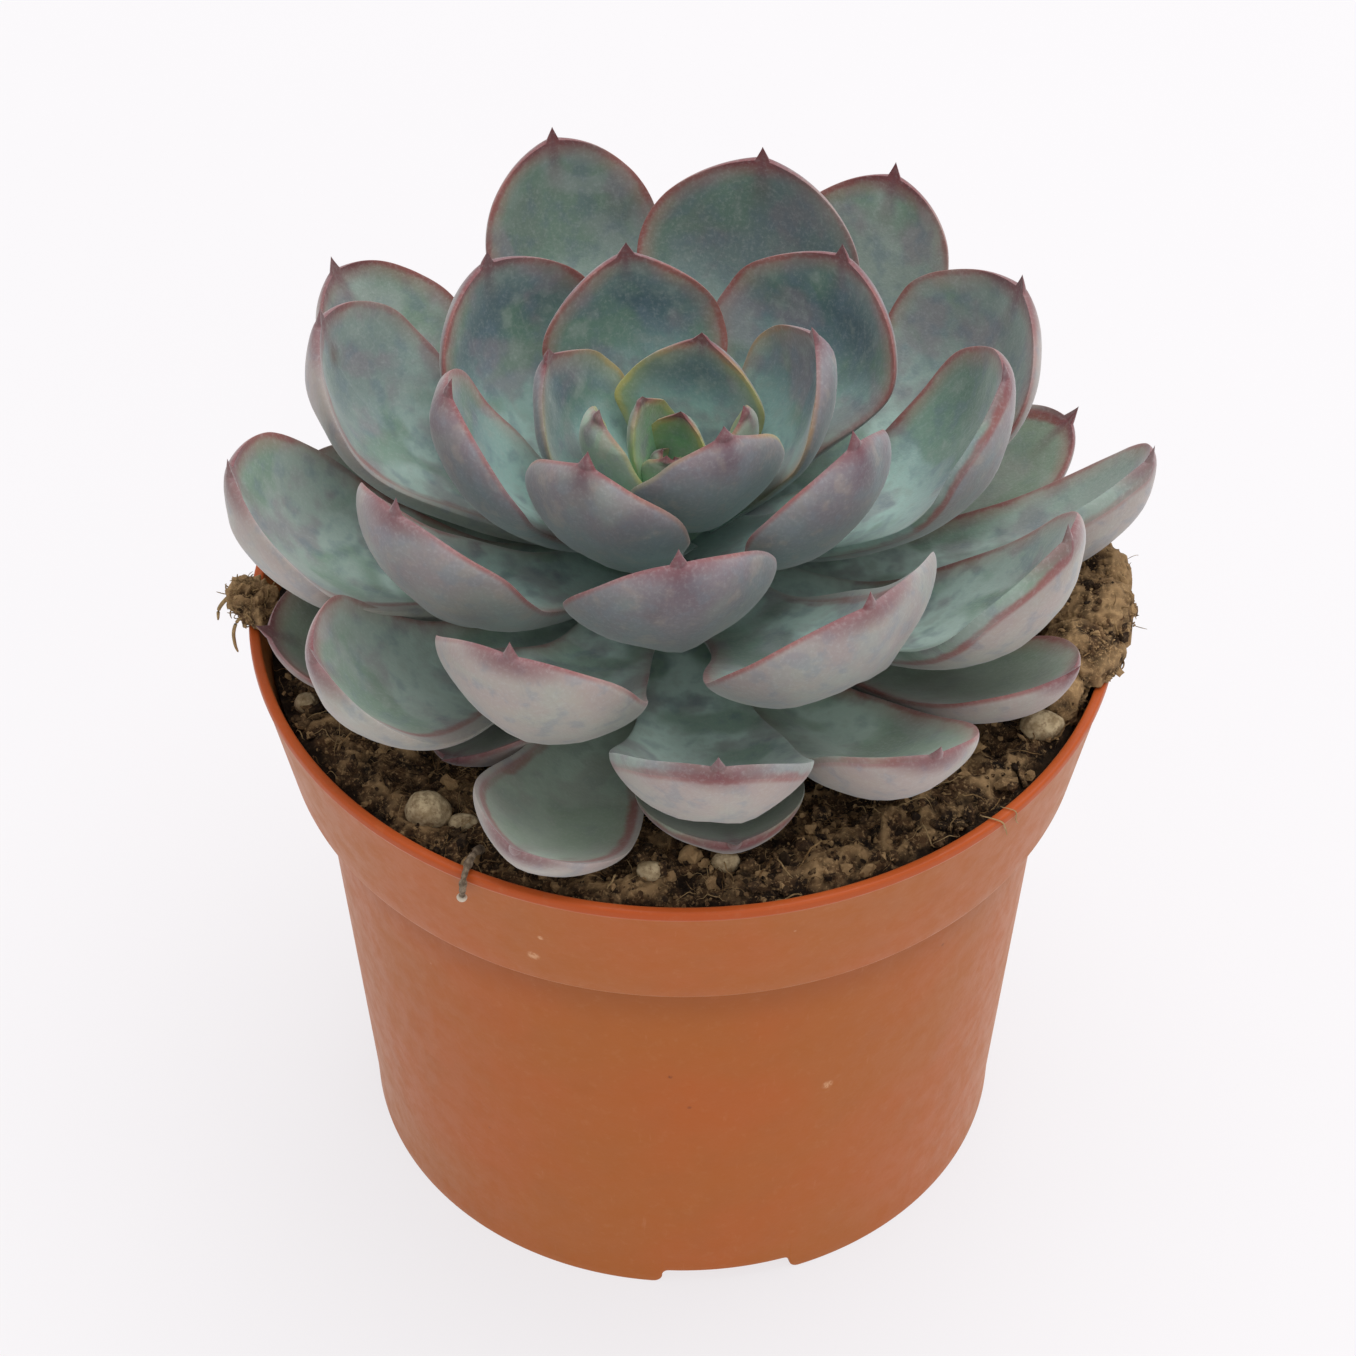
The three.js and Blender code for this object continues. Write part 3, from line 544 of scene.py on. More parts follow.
for i, (x, y, z, radius) in enumerate(HEAP_LUMPS):
    points, faces, tint = clod((x, y, z), [radius] * 3, HEAP_RELIEF, 40 + 5 * i, 90, 160)
    away = np.hypot(points[:, 0], points[:, 1])
    over_lip = smooth((away - RIM_RADIUS + 3.5) / 1.5) * smooth((away - RIM_RADIUS + 4) / 2)
    points[:, 2] = np.maximum(points[:, 2], over_lip * (POT_HEIGHT + 0.3))
    held = np.minimum(away, np.where(points[:, 2] < POT_HEIGHT + 0.2, 57.3, 62))
    points[:, :2] *= (held / away)[:, None]
    add_piece(f"mix_heap_{i}", points, faces, peat_mix, "peat_mix", "potting_mix", tint=tint)

CRUMB_INNER = 24
CRUMB_OUTER = 56.6


def unit(vectors):
    """The same vectors, each with a length of 1."""
    return vectors / np.linalg.norm(vectors, axis=-1, keepdims=True)


def scattered(count, random):
    """Places spread evenly over the ring-shaped stretch of the mix that shows."""
    away = np.sqrt(random.uniform(CRUMB_INNER**2, CRUMB_OUTER**2, count))
    turn = random.uniform(0, 2 * math.pi, count)
    return away * np.cos(turn), away * np.sin(turn)


def crumbs(places, size, rows, columns, random):
    """Crumbs at the given places: small balls, each with its own stretch, turn and dents, and a tint
    that is tan on some and dark on most."""
    count = len(places)
    ways, faces = ball(rows, columns)
    dents = random.uniform(0.5, 1.3, (count, len(ways), 1))
    stretch = random.uniform(0.35, 1.25, (count, 1, 3))
    axes = np.linalg.qr(random.normal(size=(count, 3, 3)))[0]
    axes *= np.linalg.det(axes)[:, None, None]
    shapes = np.einsum("nij,nkj->nki", axes, ways[None] * stretch * dents) * size[:, None, None]
    points = (shapes + places[:, None]).reshape(-1, 3)
    is_tan = random.uniform(size=count) < 0.3
    shade = np.where(is_tan, random.uniform(0.75, 1, count), random.uniform(0.1, 0.62, count))
    return points, copies(faces, count, len(ways)), np.repeat(shade, len(ways))


def crumb_sizes(count, smallest, largest, random):
    """Radii of crumbs, of which small ones are far more common than large ones."""
    return smallest * (largest / smallest) ** (random.uniform(0, 1, count) ** 2.2)


# Name, count, smallest and largest radius, and the rows and columns of each crumb.
for seed, (name, count, smallest, largest, rows, columns) in enumerate([
    ("crumbs_fine", 4800, 0.18, 0.65, 3, 5),
    ("crumbs_middle", 1700, 0.4, 1.2, 3, 6),
    ("crumbs_coarse", 260, 0.9, 1.9, 4, 7),
], start=1):
    random = np.random.default_rng(seed)
    x, y = scattered(count, random)
    size = crumb_sizes(count, smallest, largest, random)
    places = np.stack([x, y, crumb_height(x, y) + 0.3 * size], axis=-1)
    points, faces, tint = crumbs(places, size, rows, columns, random)
    piece = add_piece(name, points, faces, peat_mix, "peat_mix", "potting_mix", tint=tint)
    piece.data.shade_flat()


def tubes(paths, girths, sides, reference=None):
    """Round closed tubes along paths, an array of tubes by points by 3, with a radius at each point."""
    ahead = unit(np.gradient(paths, axis=1))
    if reference is None:
        reference = np.where(np.abs(ahead[..., 2:]) > 0.9, [-1.0, 0, 0], [0, 0, -1.0])
    across = unit(np.cross(ahead, reference))
    square = np.cross(ahead, across)
    turn = turns(sides)[:, None]
    wheel = np.cos(turn) * across[:, :, None] + np.sin(turn) * square[:, :, None]
    rings = paths[:, :, None] + girths[..., None, None] * wheel
    count = len(paths)
    points = np.concatenate([paths[:, :1], rings.reshape(count, -1, 3), paths[:, -1:]], axis=1)
    _, faces = closed_skin(paths[0, 0], rings[0], paths[0, -1])
    return points.reshape(-1, 3), copies(faces, count, points.shape[1])


def threads(paths, radii, sides=4):
    """Thin tubes, each with its own radius, that taper to their ends."""
    taper = 0.35 + 0.65 * np.sin(np.linspace(0, math.pi, paths.shape[1])) ** 0.5
    return tubes(paths, np.asarray(radii)[:, None] * taper, sides)


FIBRE_STEPS = 9
FIBRE_LIFT = 0.35


def lying_fibres(count, length, radius, random):
    """Fibres that wander over the mix: each heads off at random and keeps turning a little, and
    hugs the surface or stands a little off it in the middle."""
    x, y = scattered(count, random)
    start = random.uniform(0, 2 * math.pi, (count, 1))
    heading = start + np.cumsum(random.normal(0, 0.28, (count, FIBRE_STEPS)), axis=1)
    stride = random.uniform(0.5, 1.2, (count, 1)) * length / FIBRE_STEPS
    path_x = x[:, None] + np.cumsum(np.cos(heading) * stride, axis=1)
    path_y = y[:, None] + np.cumsum(np.sin(heading) * stride, axis=1)
    away = np.hypot(path_x, path_y)
    pulled = np.minimum(away, SOIL_EDGE) / away
    path_x, path_y = path_x * pulled, path_y * pulled
    arch = random.uniform(0, 1.4, (count, 1)) * np.sin(np.linspace(0, math.pi, FIBRE_STEPS))
    path_z = crumb_height(path_x, path_y) + FIBRE_LIFT + arch
    paths = np.stack([path_x, path_y, path_z], axis=-1)
    points, faces = threads(paths, random.uniform(0.6, 1.3, count) * radius)
    return points, faces, np.repeat(random.uniform(0.2, 1.0, count), len(points) // count)


# Name, count, length, radius and seed.
for name, count, length, radius, seed in [
    ("fibres_fine", 900, 5, 0.06, 11),
    ("fibres_coarse", 90, 8, 0.15, 12),
]:
    points, faces, tint = lying_fibres(count, length, radius, np.random.default_rng(seed))
    add_piece(name, points, faces, fibre_tan, "peat_fibre", "potting_mix", tint=tint)

HEAP_CURLS = 260
HEAP_CRUMBS = 1500
CURL_STEPS = 12


def curls(starts, ways, reach, radius, random):
    """Curled threads, one from each start: its heading begins along its way and keeps turning towards
    a side square to it, so that the thread is a stretch of a spiral."""
    count = len(starts)
    sides = unit(np.cross(ways, random.normal(size=(count, 3))))
    turned = random.uniform(0.6, 4.5, (count, 1)) * np.linspace(0, 1, CURL_STEPS)
    heading = ways[:, None] * np.cos(turned)[..., None] + sides[:, None] * np.sin(turned)[..., None]
    stride = random.uniform(0.4, 1.2, (count, 1, 1)) * reach / CURL_STEPS
    paths = starts[:, None] + np.cumsum(heading * stride, axis=1)
    return threads(paths, random.uniform(0.6, 1.4, count) * radius)


def on_lumps(lumps, count, share, random):
    """Places on the upper half of round lumps, at that share of their radius, and the way out there."""
    own = np.array(lumps)[random.integers(0, len(lumps), count)]
    ways = random.normal(size=(count, 3))
    ways[:, 2] = np.abs(ways[:, 2])
    ways = unit(ways)
    return own[:, :3] + ways * own[:, 3:] * share, ways


def leaning(ways, share, random):
    """The same ways turned at random, the more the larger the share."""
    return unit(ways * (1 - share) + share * random.normal(size=ways.shape))


random = np.random.default_rng(31)
starts, ways = on_lumps(HEAP_LUMPS, HEAP_CURLS, 0.94, random)
points, faces = curls(starts, leaning(ways, 0.6, random), 3.0, 0.09, random)
add_piece("fibres_heap", points, faces, fibre_tan, "peat_fibre", "potting_mix", tint=0.6)
places, _ = on_lumps(HEAP_LUMPS, HEAP_CRUMBS, 0.98, random)
size = crumb_sizes(HEAP_CRUMBS, 0.25, 0.95, random)
points, faces, tint = crumbs(places, size, 3, 6, random)
piece = add_piece("crumbs_heap", points, faces, peat_mix, "peat_mix", "potting_mix", tint=tint)
piece.data.shade_flat()

# ---- grains ----------------------------------------------------------------------------------
# Six grains of pumice and pale bark that lie on the mix: rough, pitted, dusty beige stones.

# Node, place, and the long and short diameter.
GRAINS = [
    ("pumice_round", -34, -38.5, 6, 5.4), ("pumice_long", -29.3, -39.6, 4.4, 2.8),
    ("pumice_left", -51.3, -16.5, 3.6, 3), ("pumice_front", 5.5, -48, 3.6, 3),
    ("pumice_rim", -4.2, -50.5, 4, 2.8), ("pumice_right", 48.5, -23.5, 6, 4.4),
]
GRAIN_RELIEF = ((2.6, 0.3), (1.1, 0.1), (0.4, 0.07))


def knobbly(center, radii, relief, seed, rows, columns):
    """A stone: a ball whose points move in and out by clouds of several sizes."""
    ways, faces = ball(rows, columns)
    points = np.asarray(center) + ways * np.asarray(radii)
    push = sum(size * cloud(points, step, seed + i) for i, (step, size) in enumerate(relief))
    return points + ways * push[:, None], faces


def pumice():
    """Dusty pumice: beige with pale grains and brown pits."""
    finish = Finish("pumice grain")
    noise, ramp = finish.noise, finish.ramp
    color = finish.coats(
        (146, 127, 96),
        (ramp(noise(1.3, 4, 0.6), 0.35, 0.65), (190, 172, 138)),
        (ramp(noise(1.0, 4, 0.7), 0.5, 0.66, 0, 0.65), (112, 88, 60)),
    )
    return finish.close(color, 0.92, noise(0.35, 5, 0.7), 0.16, {"Specular IOR Level": 0.25})


pumice_finish = pumice()
for i, (name, x, y, long, short) in enumerate(GRAINS):
    rest = mix_height(np.array(x), np.array(y)) + 0.15 * short
    radii = (long / 2, short / 2, short / 2)
    points, faces = knobbly((x, y, rest), radii, GRAIN_RELIEF, 90 + 4 * i, 40, 64)
    add_piece(f"grain_{name}", points, faces, pumice_finish, "pumice", name)

# ---- root tuft -------------------------------------------------------------------------------
# A knot of peat and dry root threads that has washed over the left of the rim and dried there.

TUFT_LUMPS = [(-59, -3.4, 93.0, 2.5), (-60, -0.6, 93.1, 2.2), (-58.4, -1.8, 93.4, 2.2)]
TUFT_RELIEF = ((2.2, 1.5), (1.1, 1.1), (0.55, 0.6))
TUFT_CURLS = 150
# Long threads of the tuft, as points that each passes through.
TUFT_STRANDS = [
    [
        (-59.6, -1, 93.2), (-61.4, -0.8, 94.2), (-62.8, -1.4, 93.6), (-64, -2, 92.2),
        (-64.2, -2.6, 90.6),
    ],
    [
        (-59.8, -4.2, 93.2), (-61.2, -4.8, 92.6), (-61.9, -5, 90.6), (-61.8, -5.4, 88.6),
        (-61.5, -5.2, 87),
    ],
]
STRAND_RADII = (0.3, 0.26)

tuft_parts = [
    clod((x, y, z), (r * 0.95, r * 1.1, r * 0.75), TUFT_RELIEF, 130 + 5 * i, 60, 90)
    for i, (x, y, z, r) in enumerate(TUFT_LUMPS)
]
points, faces = joined([part[:2] for part in tuft_parts])
away = np.hypot(points[:, 0], points[:, 1])
on_lip = (away > 57.8) & (away < RIM_RADIUS + 0.3)
points[:, 2] = np.where(on_lip, np.maximum(points[:, 2], POT_HEIGHT + 0.2), points[:, 2])
tint = np.concatenate([part[2] for part in tuft_parts])
add_piece("tuft_knot", points, faces, peat_mix, "peat_fibre", "root_tuft", tint=tint)
random = np.random.default_rng(21)
starts, ways = on_lumps(TUFT_LUMPS, TUFT_CURLS, 0.85, random)
points, faces = curls(starts, leaning(ways + (-0.4, 0, -0.1), 0.4, random), 2.4, 0.1, random)
add_piece("tuft_curls", points, faces, fibre_tan, "peat_fibre", "root_tuft", tint=0.7)


def curve_through(corners, steps):
    """A smooth curve through the corners: between each two it follows the Catmull-Rom formula."""
    held = np.concatenate([corners[:1] * 2 - corners[1:2], corners, corners[-1:] * 2 - corners[-2:-1]])
    place = np.linspace(0, len(corners) - 1 - 1e-9, steps)
    low = np.floor(place).astype(int)
    part = (place - low)[:, None]
    a, b, c, d = (held[low + i] for i in range(4))
    slope = (c - a) * part + (2 * a - 5 * b + 4 * c - d) * part**2 + (3 * b - a - 3 * c + d) * part**3
    return b + 0.5 * slope


strands = np.stack([curve_through(np.array(strand), 24) for strand in TUFT_STRANDS])
points, faces = threads(strands, STRAND_RADII, 8)
add_piece("tuft_strands", points, faces, fibre_tan, "peat_fibre", "root_tuft", tint=0.8)

# ---- rootlet ---------------------------------------------------------------------------------
# A dry grey rootlet that comes out of the mix, bends over the rim and hangs down the collar, and
# two straws of dry root that lie over the lip.

# Points that the rootlet and the straws pass through, each as (radius, azimuth, height).
ROOTLET_PATH = [
    (53.4, 240, 90), (56, 240.8, 92.2), (58.6, 241.4, 93), (60.7, 241.8, 92.3), (61, 241.7, 90.2),
    (60.8, 241.4, 88),
]
ROOTLET_RADIUS = 0.55
ROOTLET_STEPS = 60
ROOTLET_SIDES = 16
STRAWS = [
    [(57.6, 313, 92.2), (60.15, 314.2, 92.1), (60.1, 315.2, 90.2), (59.55, 316.4, 87.4)],
    [(58.4, 316, 92.3), (60.2, 317, 91.9), (60.05, 317.4, 89.8), (59.75, 318.4, 88.2)],
]
STRAW_RADII = (0.11, 0.08)


def dry_root():
    """Dry root bark: grey-brown, paler and rougher in rings and lengthwise wrinkles."""
    finish = Finish("dry root bark")
    noise, ramp = finish.noise, finish.ramp
    color = finish.coats(
        (84, 70, 56),
        (ramp(noise(0.8, 4, 0.6), 0.35, 0.7), (140, 124, 104)),
        (ramp(finish.read("tint"), 0.6, 1.0), (196, 184, 166)),
    )
    return finish.close(color, 0.88, noise(0.4, 5, 0.7), 0.15, {"Specular IOR Level": 0.25})


def round_the_pot(corners, steps):
    """A smooth curve through corners that are given by radius, azimuth and height."""
    radius, azimuth, height = np.array(corners, float).T
    return curve_through(polar(radius, np.radians(azimuth), height), steps)


down = np.linspace(0, 1, ROOTLET_STEPS)
girth = ROOTLET_RADIUS * (1 + 0.22 * np.sin(19 * down) + 0.12 * np.sin(47 * down)) * (1 - 0.25 * down)
girth = girth + 0.3 * np.exp(-((down - 0.965) / 0.035) ** 2)
girth = girth * np.clip((1.02 - down) * 30, 0.2, 1)
path = round_the_pot(ROOTLET_PATH, ROOTLET_STEPS)
points, faces = tubes(path[None], girth[None], ROOTLET_SIDES, [0.62, 0.11, 0.78])
bulb = np.repeat(smooth((down - 0.86) / 0.1), ROOTLET_SIDES)
tint = np.concatenate([[0], bulb, [1]])
add_piece("rootlet_bark", points, faces, dry_root(), "dry_root", "rootlet", tint=tint)

straws = np.stack([round_the_pot(straw, 20) for straw in STRAWS])
points, faces = threads(straws, STRAW_RADII, 5)
add_piece("straws_over_lip", points, faces, fibre_tan, "peat_fibre", "potting_mix", tint=0.9)

# ---- leaves ----------------------------------------------------------------------------------
# Each leaf is a thick, water-filled spoon that ends in a short point, cupped above and bulging
# below. They leave the stem in a golden-angle spiral: upright and small in the heart, long and
# spreading outside. A waxy bloom dulls the blue-green skin, and the margin is lined with red.

ROSETTE_X = -1.5
ROSETTE_Y = 5
LEAF_COUNT = 46
HEART_LEAVES = 7
FIRST_AZIMUTH = 308.5
GOLDEN_ANGLE = 137.508
SETTLED_FROM = 26
SETTLED_TURN = 0.8
LEAF_BASE_THICKNESS = 0.35
LEAF_BULGE_ABOVE = 0.22
MUCRO_LENGTH = 2.6
MUCRO_RADIUS = 1.9
MUCRO_FULL_WIDTH = 14
LEAF_DENTS = 0.75
BLADE_ROWS = 84
MUCRO_ROWS = 9
LEAF_COLUMNS = 64
MARGIN_CROWDING = 0.3
MIDLINE_END = 1.12
MIDLINE_STEPS = 561

# The leaf's size and pose at some places along the spiral, counted outwards from the heart.
LEAF_FIELDS = [
    "length", "width", "thickness", "base_pitch", "tip_pitch", "lateness",
    "neck", "broadest", "closing", "cup", "height", "radius",
]
LEAF_STATIONS = np.array([
    [0, 4, 3.5, 1.6, 88, 92, 1.5, 0.7, 0.5, 0.85, 0.32, 112, 0.6],
    [4, 13, 9, 2.4, 65, 95, 1.5, 0.7, 0.5, 0.85, 0.32, 110, 2],
    [7, 22, 18, 3.2, 42, 95, 1.3, 0.62, 0.52, 0.82, 0.3, 107, 3],
    [12, 38, 25, 4.2, 20, 92, 1.4, 0.4, 0.64, 0.74, 0.3, 103.5, 4],
    [16, 48, 28.5, 4.8, 6, 91, 1.5, 0.28, 0.7, 0.54, 0.34, 101, 4.5],
    [20, 57, 30, 5.2, -1, 88, 1.6, 0.24, 0.74, 0.54, 0.34, 99.2, 5],
    [25, 64, 30, 5.4, -8, 82, 1.65, 0.24, 0.76, 0.5, 0.36, 97.5, 5.5],
    [31, 66, 26, 5.2, -14, 72, 1.75, 0.24, 0.77, 0.5, 0.4, 96, 6],
    [37, 60, 23, 4.8, -16, 50, 1.75, 0.24, 0.78, 0.48, 0.38, 94.8, 6.5],
    [41, 56, 22.5, 4.4, -16, 34, 1.6, 0.24, 0.76, 0.5, 0.36, 93, 6.5],
    [45, 48, 21, 4.2, -14, 22, 1.5, 0.24, 0.75, 0.5, 0.34, 91, 6.5],
])
# What single leaves differ by from the spiral's rule. Fields that a row leaves out are not changed.
QUIRK_FIELDS = ["azimuth", "length", "width", "base_pitch", "tip_pitch", "roll", "height"]
LEAF_QUIRKS = {
    0: (0, 0, 0, 0, 0, 0, -2), 1: (0, 0, 0, 0, 0, 0, -3), 2: (28, 2, 3, 0, 0, 0, -2),
    3: (0, -2, 0, 0, 0, 0, -3), 4: (28, 0, 1, 0, 0, 0, -1), 5: (0, 4, 1, -12, 0, 0, -2),
    6: (0, 2, 2, -4, 0, 0, -2), 7: (4, 0, 3, 0, 0, 0, -1), 8: (6, 4, 3, -2),
    9: (5, -1, 1, -3, -5, 0, -2), 10: (1, 1, 3, 0, 5), 11: (5, 1, 1, -2, 6, 0, -1),
    12: (6, 0, 1, 0, 4, 0, -2), 13: (3, 2, 0, 0, 4, -6, -1), 14: (5, -1, 0, 0, 6, 7, -1),
    15: (0, -1, 3, 3, 0, 4, -1), 16: (3, -1, 0, 0, 0, 14), 17: (4, -4, 0, 2, 3, 0, -1),
    18: (4, 3, 2, 0, 2, -6), 19: (-1, -1, 0, 0, 2, 10, -1), 20: (-4, 1, 2, 0, 5, 0, 1),
    21: (0, 0, 6, 0, 0, 8), 22: (0, -1, -1, 1, 2, 3), 23: (0, 0, 2), 24: (-1, -1, -1, 0, 3),
    25: (-3, 2, -4, 3, 8, 6), 26: (-1, 3, -3, 0, 7, -3), 27: (-5, 1, 1, 1, 0, -4),
    28: (1, 1, -2, 5, 5, 6), 29: (-3, 2, -1, -2, 0, -6, 1), 30: (1, -1, 0, -1, 0, 8, 1),
    31: (-3, 2, -4, 0, 0, -26, 1), 32: (-4, -2, 0, 0, 3, -20, 1), 33: (0, -8),
    34: (-4, 1, -2, 0, 4, -12), 35: (0, -10, -2, -5), 36: (-9, -3, -5, -5, 0, 5, 1),
    37: (0, 3, -1, -3, 0, -16), 38: (0, -9, 0, -3), 39: (-6, 2, -3, -2, 12, -10, 1),
    40: (1, -3, -1, -4, 5, -14, 1), 41: (-2, -7), 42: (-2, -2, 0, -2, 6), 43: (0, -10, -4, -4),
    44: (-9, -10, -3, -5, 0, -12, 1), 45: (5, -7, -4, -4, 7, 20),
}
# How far above a leaf's widest place its red line runs, in millimetres, and on which side: 1 is the
# anticlockwise margin, -1 the other and 0 both.
LEAF_SEAMS = {
    18: (-1.6, -1), 21: (1.8, 1), 22: (1.5, 1), 26: (-2.4, -1), 27: (2.2, 1), 29: (-1.9, 0),
    31: (-2.6, -1), 32: (2.8, 1), 34: (-0.8, -1), 36: (1.2, 1), 37: (1.4, 0), 42: (-1, 0),
}
# How much painted shade darkens the upper face of some leaves at the back, where less light falls on
# them.
LEAF_PAINTED_SHADE = {12: 0.1, 20: 0.36, 25: 0.24}
# Small dry scars: how far along the leaf, where across it from -1 to 1, and 1 above or -1 below.
LEAF_SCARS = {
    16: (0.86, -0.35, -1), 19: (0.82, 0.1, -1), 22: (0.9, 0.0, 1), 32: (0.86, 0.5, 1), 37: (0.9, 0.6, 1),
}
SEAM_FULL = 1.4
SCAR_LENGTH = 1.5
SCAR_WIDTH = 0.6
NO_SCAR = (9, 0, 1)


def leaf_pose(index):
    """Size and pose of one leaf: read off between the stations, with its own quirks added."""
    settled = SETTLED_TURN * max(0, index - SETTLED_FROM)
    pose = {"azimuth": FIRST_AZIMUTH - GOLDEN_ANGLE * index - settled, "roll": 0}
    for column, field in enumerate(LEAF_FIELDS, start=1):
        pose[field] = float(np.interp(index, LEAF_STATIONS[:, 0], LEAF_STATIONS[:, column]))
    for field, change in zip(QUIRK_FIELDS, LEAF_QUIRKS.get(index, ())):
        pose[field] += change
    return pose


def leaf_midline(pose, s):
    """How far out and how high the midline has come at s, and its pitch there: the pitch goes from
    base to tip by a power of s, and its cosine and sine are added up along the length."""
    fine = np.linspace(0, MIDLINE_END, MIDLINE_STEPS)
    bend = pose["tip_pitch"] - pose["base_pitch"]
    pitch = np.radians(pose["base_pitch"] + bend * fine ** pose["lateness"])
    step = fine[1] * pose["length"]
    halfway = (pitch[1:] + pitch[:-1]) / 2
    out, up = (np.concatenate([[0], np.cumsum(part(halfway)) * step]) for part in (np.cos, np.sin))
    return np.interp(s, fine, out), np.interp(s, fine, up), np.interp(s, fine, pitch)


def leaf_half_width(pose, s, mucro):
    """Half the width at s: narrow at the neck, widening evenly to the broadest place, closing in a
    curve that is full on outer leaves and pointed on inner ones, and running out into the mucro
    through a small hollow flare."""
    widening = np.sin(math.pi / 2 * np.clip(s / pose["broadest"], 0, 1) ** 2)
    swell = pose["neck"] + (1 - pose["neck"]) * widening
    close = (1 - np.clip((s - pose["broadest"]) / (1 - pose["broadest"]), 0, 1) ** 2.1) ** pose["closing"]
    blade = pose["width"] / 2 * np.where(s < pose["broadest"], swell, close)
    reach = np.clip((1 + mucro - s) / (mucro + 0.03), 0, 2) ** 1.1
    point = reach * MUCRO_RADIUS * min(1, pose["width"] / MUCRO_FULL_WIDTH)
    return (blade**3 + point**3) ** (1 / 3)


def leaf_depth(pose, s, half):
    """The depth at s, which thins towards the base and the tip."""
    growth = LEAF_BASE_THICKNESS + (1 - LEAF_BASE_THICKNESS) * smooth(s / 0.35)
    taper = (1 - np.clip((s - 0.45) / 0.56, 0, 1) ** 3.2) ** 0.6
    return np.maximum(pose["thickness"] * growth * taper, np.minimum(0.9 * half, 0.9))


def place_on_rosette(pose, out, up, pitch, aside, normal):
    """A point at the given distances from a leaf's midline, sideways and square to the blade."""
    away = pose["radius"] + out - np.sin(pitch) * normal
    turn = math.radians(pose["azimuth"])
    x = ROSETTE_X + away * math.cos(turn) - aside * math.sin(turn)
    y = ROSETTE_Y + away * math.sin(turn) + aside * math.cos(turn)
    return np.stack([x, y, pose["height"] + up + np.cos(pitch) * normal], axis=-1)


def per_point(first, grid, last):
    """The values of a closed skin's points: of its first point, its rings and its last point."""
    return np.concatenate([[first], grid.ravel(), [last]])


def gap_to_margin(points, rings, last):
    """The distance of each point to the leaf's margin, which runs up one side of the rings, over the
    tip and down the other side."""
    margin = np.concatenate([rings[:, 0], [last], rings[::-1, LEAF_COLUMNS // 2]])
    steps = margin[1:] - margin[:-1]
    dense = np.concatenate([margin[:-1] + steps * part for part in (0, 0.25, 0.5, 0.75)])
    return np.linalg.norm(points[:, None] - dense, axis=-1).min(axis=1)


def leaf_skin_points(index):
    """The leaf's skin on a grid of s, from base to tip, by the angle round its section. The margins
    are lifted by the cup and turned by the roll, and waver a little, and soft dents run through both
    faces between them. With each point go its distance from the red line, counted below zero on the
    underside, its place along and across the leaf, and the leaf's age, marks and painted shade."""
    pose = leaf_pose(index)
    random = np.random.default_rng(500 + index)
    mucro = min(MUCRO_LENGTH, 0.2 + 0.06 * pose["length"]) / pose["length"]
    blade = 1 - (1 - np.linspace(0, 1, BLADE_ROWS)) ** 1.7
    beyond = 1 - (1 - np.linspace(0, 1, MUCRO_ROWS + 2)[1:-1]) ** 1.3
    s = np.concatenate([blade, 1 + mucro * beyond])[:, None]
    even = turns(LEAF_COLUMNS)
    angle = even - MARGIN_CROWDING * np.sin(2 * even)
    half = leaf_half_width(pose, s, mucro)
    depth = leaf_depth(pose, s, half)
    out, up, pitch = leaf_midline(pose, s)
    over = np.maximum(0, np.sin(angle))
    under = np.maximum(0, -np.sin(angle))
    waver = np.sin(s * random.uniform(9, 14) + random.uniform(0, 6) + 1.3 * np.cos(angle))
    waver = waver + 0.5 * np.sin(s * random.uniform(20, 27) + random.uniform(0, 6) - 2 * np.cos(angle))
    waver = waver * 0.24 * smooth(s / 0.3) * smooth((1.02 - s) / 0.15) * pose["width"] / 28
    cup = pose["cup"] * smooth(s / 0.5) * (1 - 0.4 * np.clip((s - 0.8) / 0.2, 0, 1) ** 2)
    across = (half + waver) * np.cos(angle)
    grid = np.stack(np.broadcast_arrays(across, 0.5 * s * pose["length"], 9.0 * index), axis=-1)
    inside = np.sin(angle) ** 2 * smooth(s / 0.3) * smooth((1 - s) / 0.1)
    dents = LEAF_DENTS * cloud(grid, 5.0, 700) * inside
    lift = cup * half * np.cos(angle) ** 2 + waver * np.cos(angle) ** 2 + dents
    rise = lift + LEAF_BULGE_ABOVE * depth * over - (1 - LEAF_BULGE_ABOVE) * depth * under**0.85
    turn = math.radians(pose["roll"]) * smooth(s)
    aside = across * np.cos(turn) - rise * np.sin(turn)
    normal = across * np.sin(turn) + rise * np.cos(turn)
    rings = place_on_rosette(pose, out, up, pitch, aside, normal)
    first = place_on_rosette(pose, 0, 0, math.radians(pose["base_pitch"]), 0, 0)
    last = place_on_rosette(pose, *[float(value) for value in leaf_midline(pose, 1 + mucro)], 0, 0)
    points, faces = closed_skin(first, rings, last)
    side = per_point(-1, np.where(np.sin(angle) >= 0, 1, -1) + 0 * s, 1)
    along = per_point(0, s + 0 * angle, 1 + mucro)
    around = per_point(0, np.cos(angle) + 0 * s, 0)
    scar_along, scar_across, scar_face = LEAF_SCARS.get(index, NO_SCAR)
    off = ((along - scar_along) * pose["length"] / SCAR_LENGTH) ** 2
    off += ((around - scar_across) * pose["width"] / 2 / SCAR_WIDTH) ** 2
    seam_rise, seam_side = LEAF_SEAMS.get(index, (0, 0))
    seam = seam_rise * smooth(along / 0.45) * smooth(0.5 + 2 * seam_side * around + (seam_side == 0))
    even_values = {
        # How much painted shade darkens this leaf's upper face.
        "deep": LEAF_PAINTED_SHADE.get(index, 0),
        "age": index / (LEAF_COUNT - 1),
        "wander": random.uniform(),
    }
    return points, faces, {
        "edge": gap_to_margin(points, rings, last) * side - seam,
        "flank": np.clip(np.abs(seam) / SEAM_FULL, 0, 1),
        "scar": np.exp(-off) * (side == scar_face),
        "along": along,
        "across": around,
        **{key: np.full(len(points), value) for key, value in even_values.items()},
    }


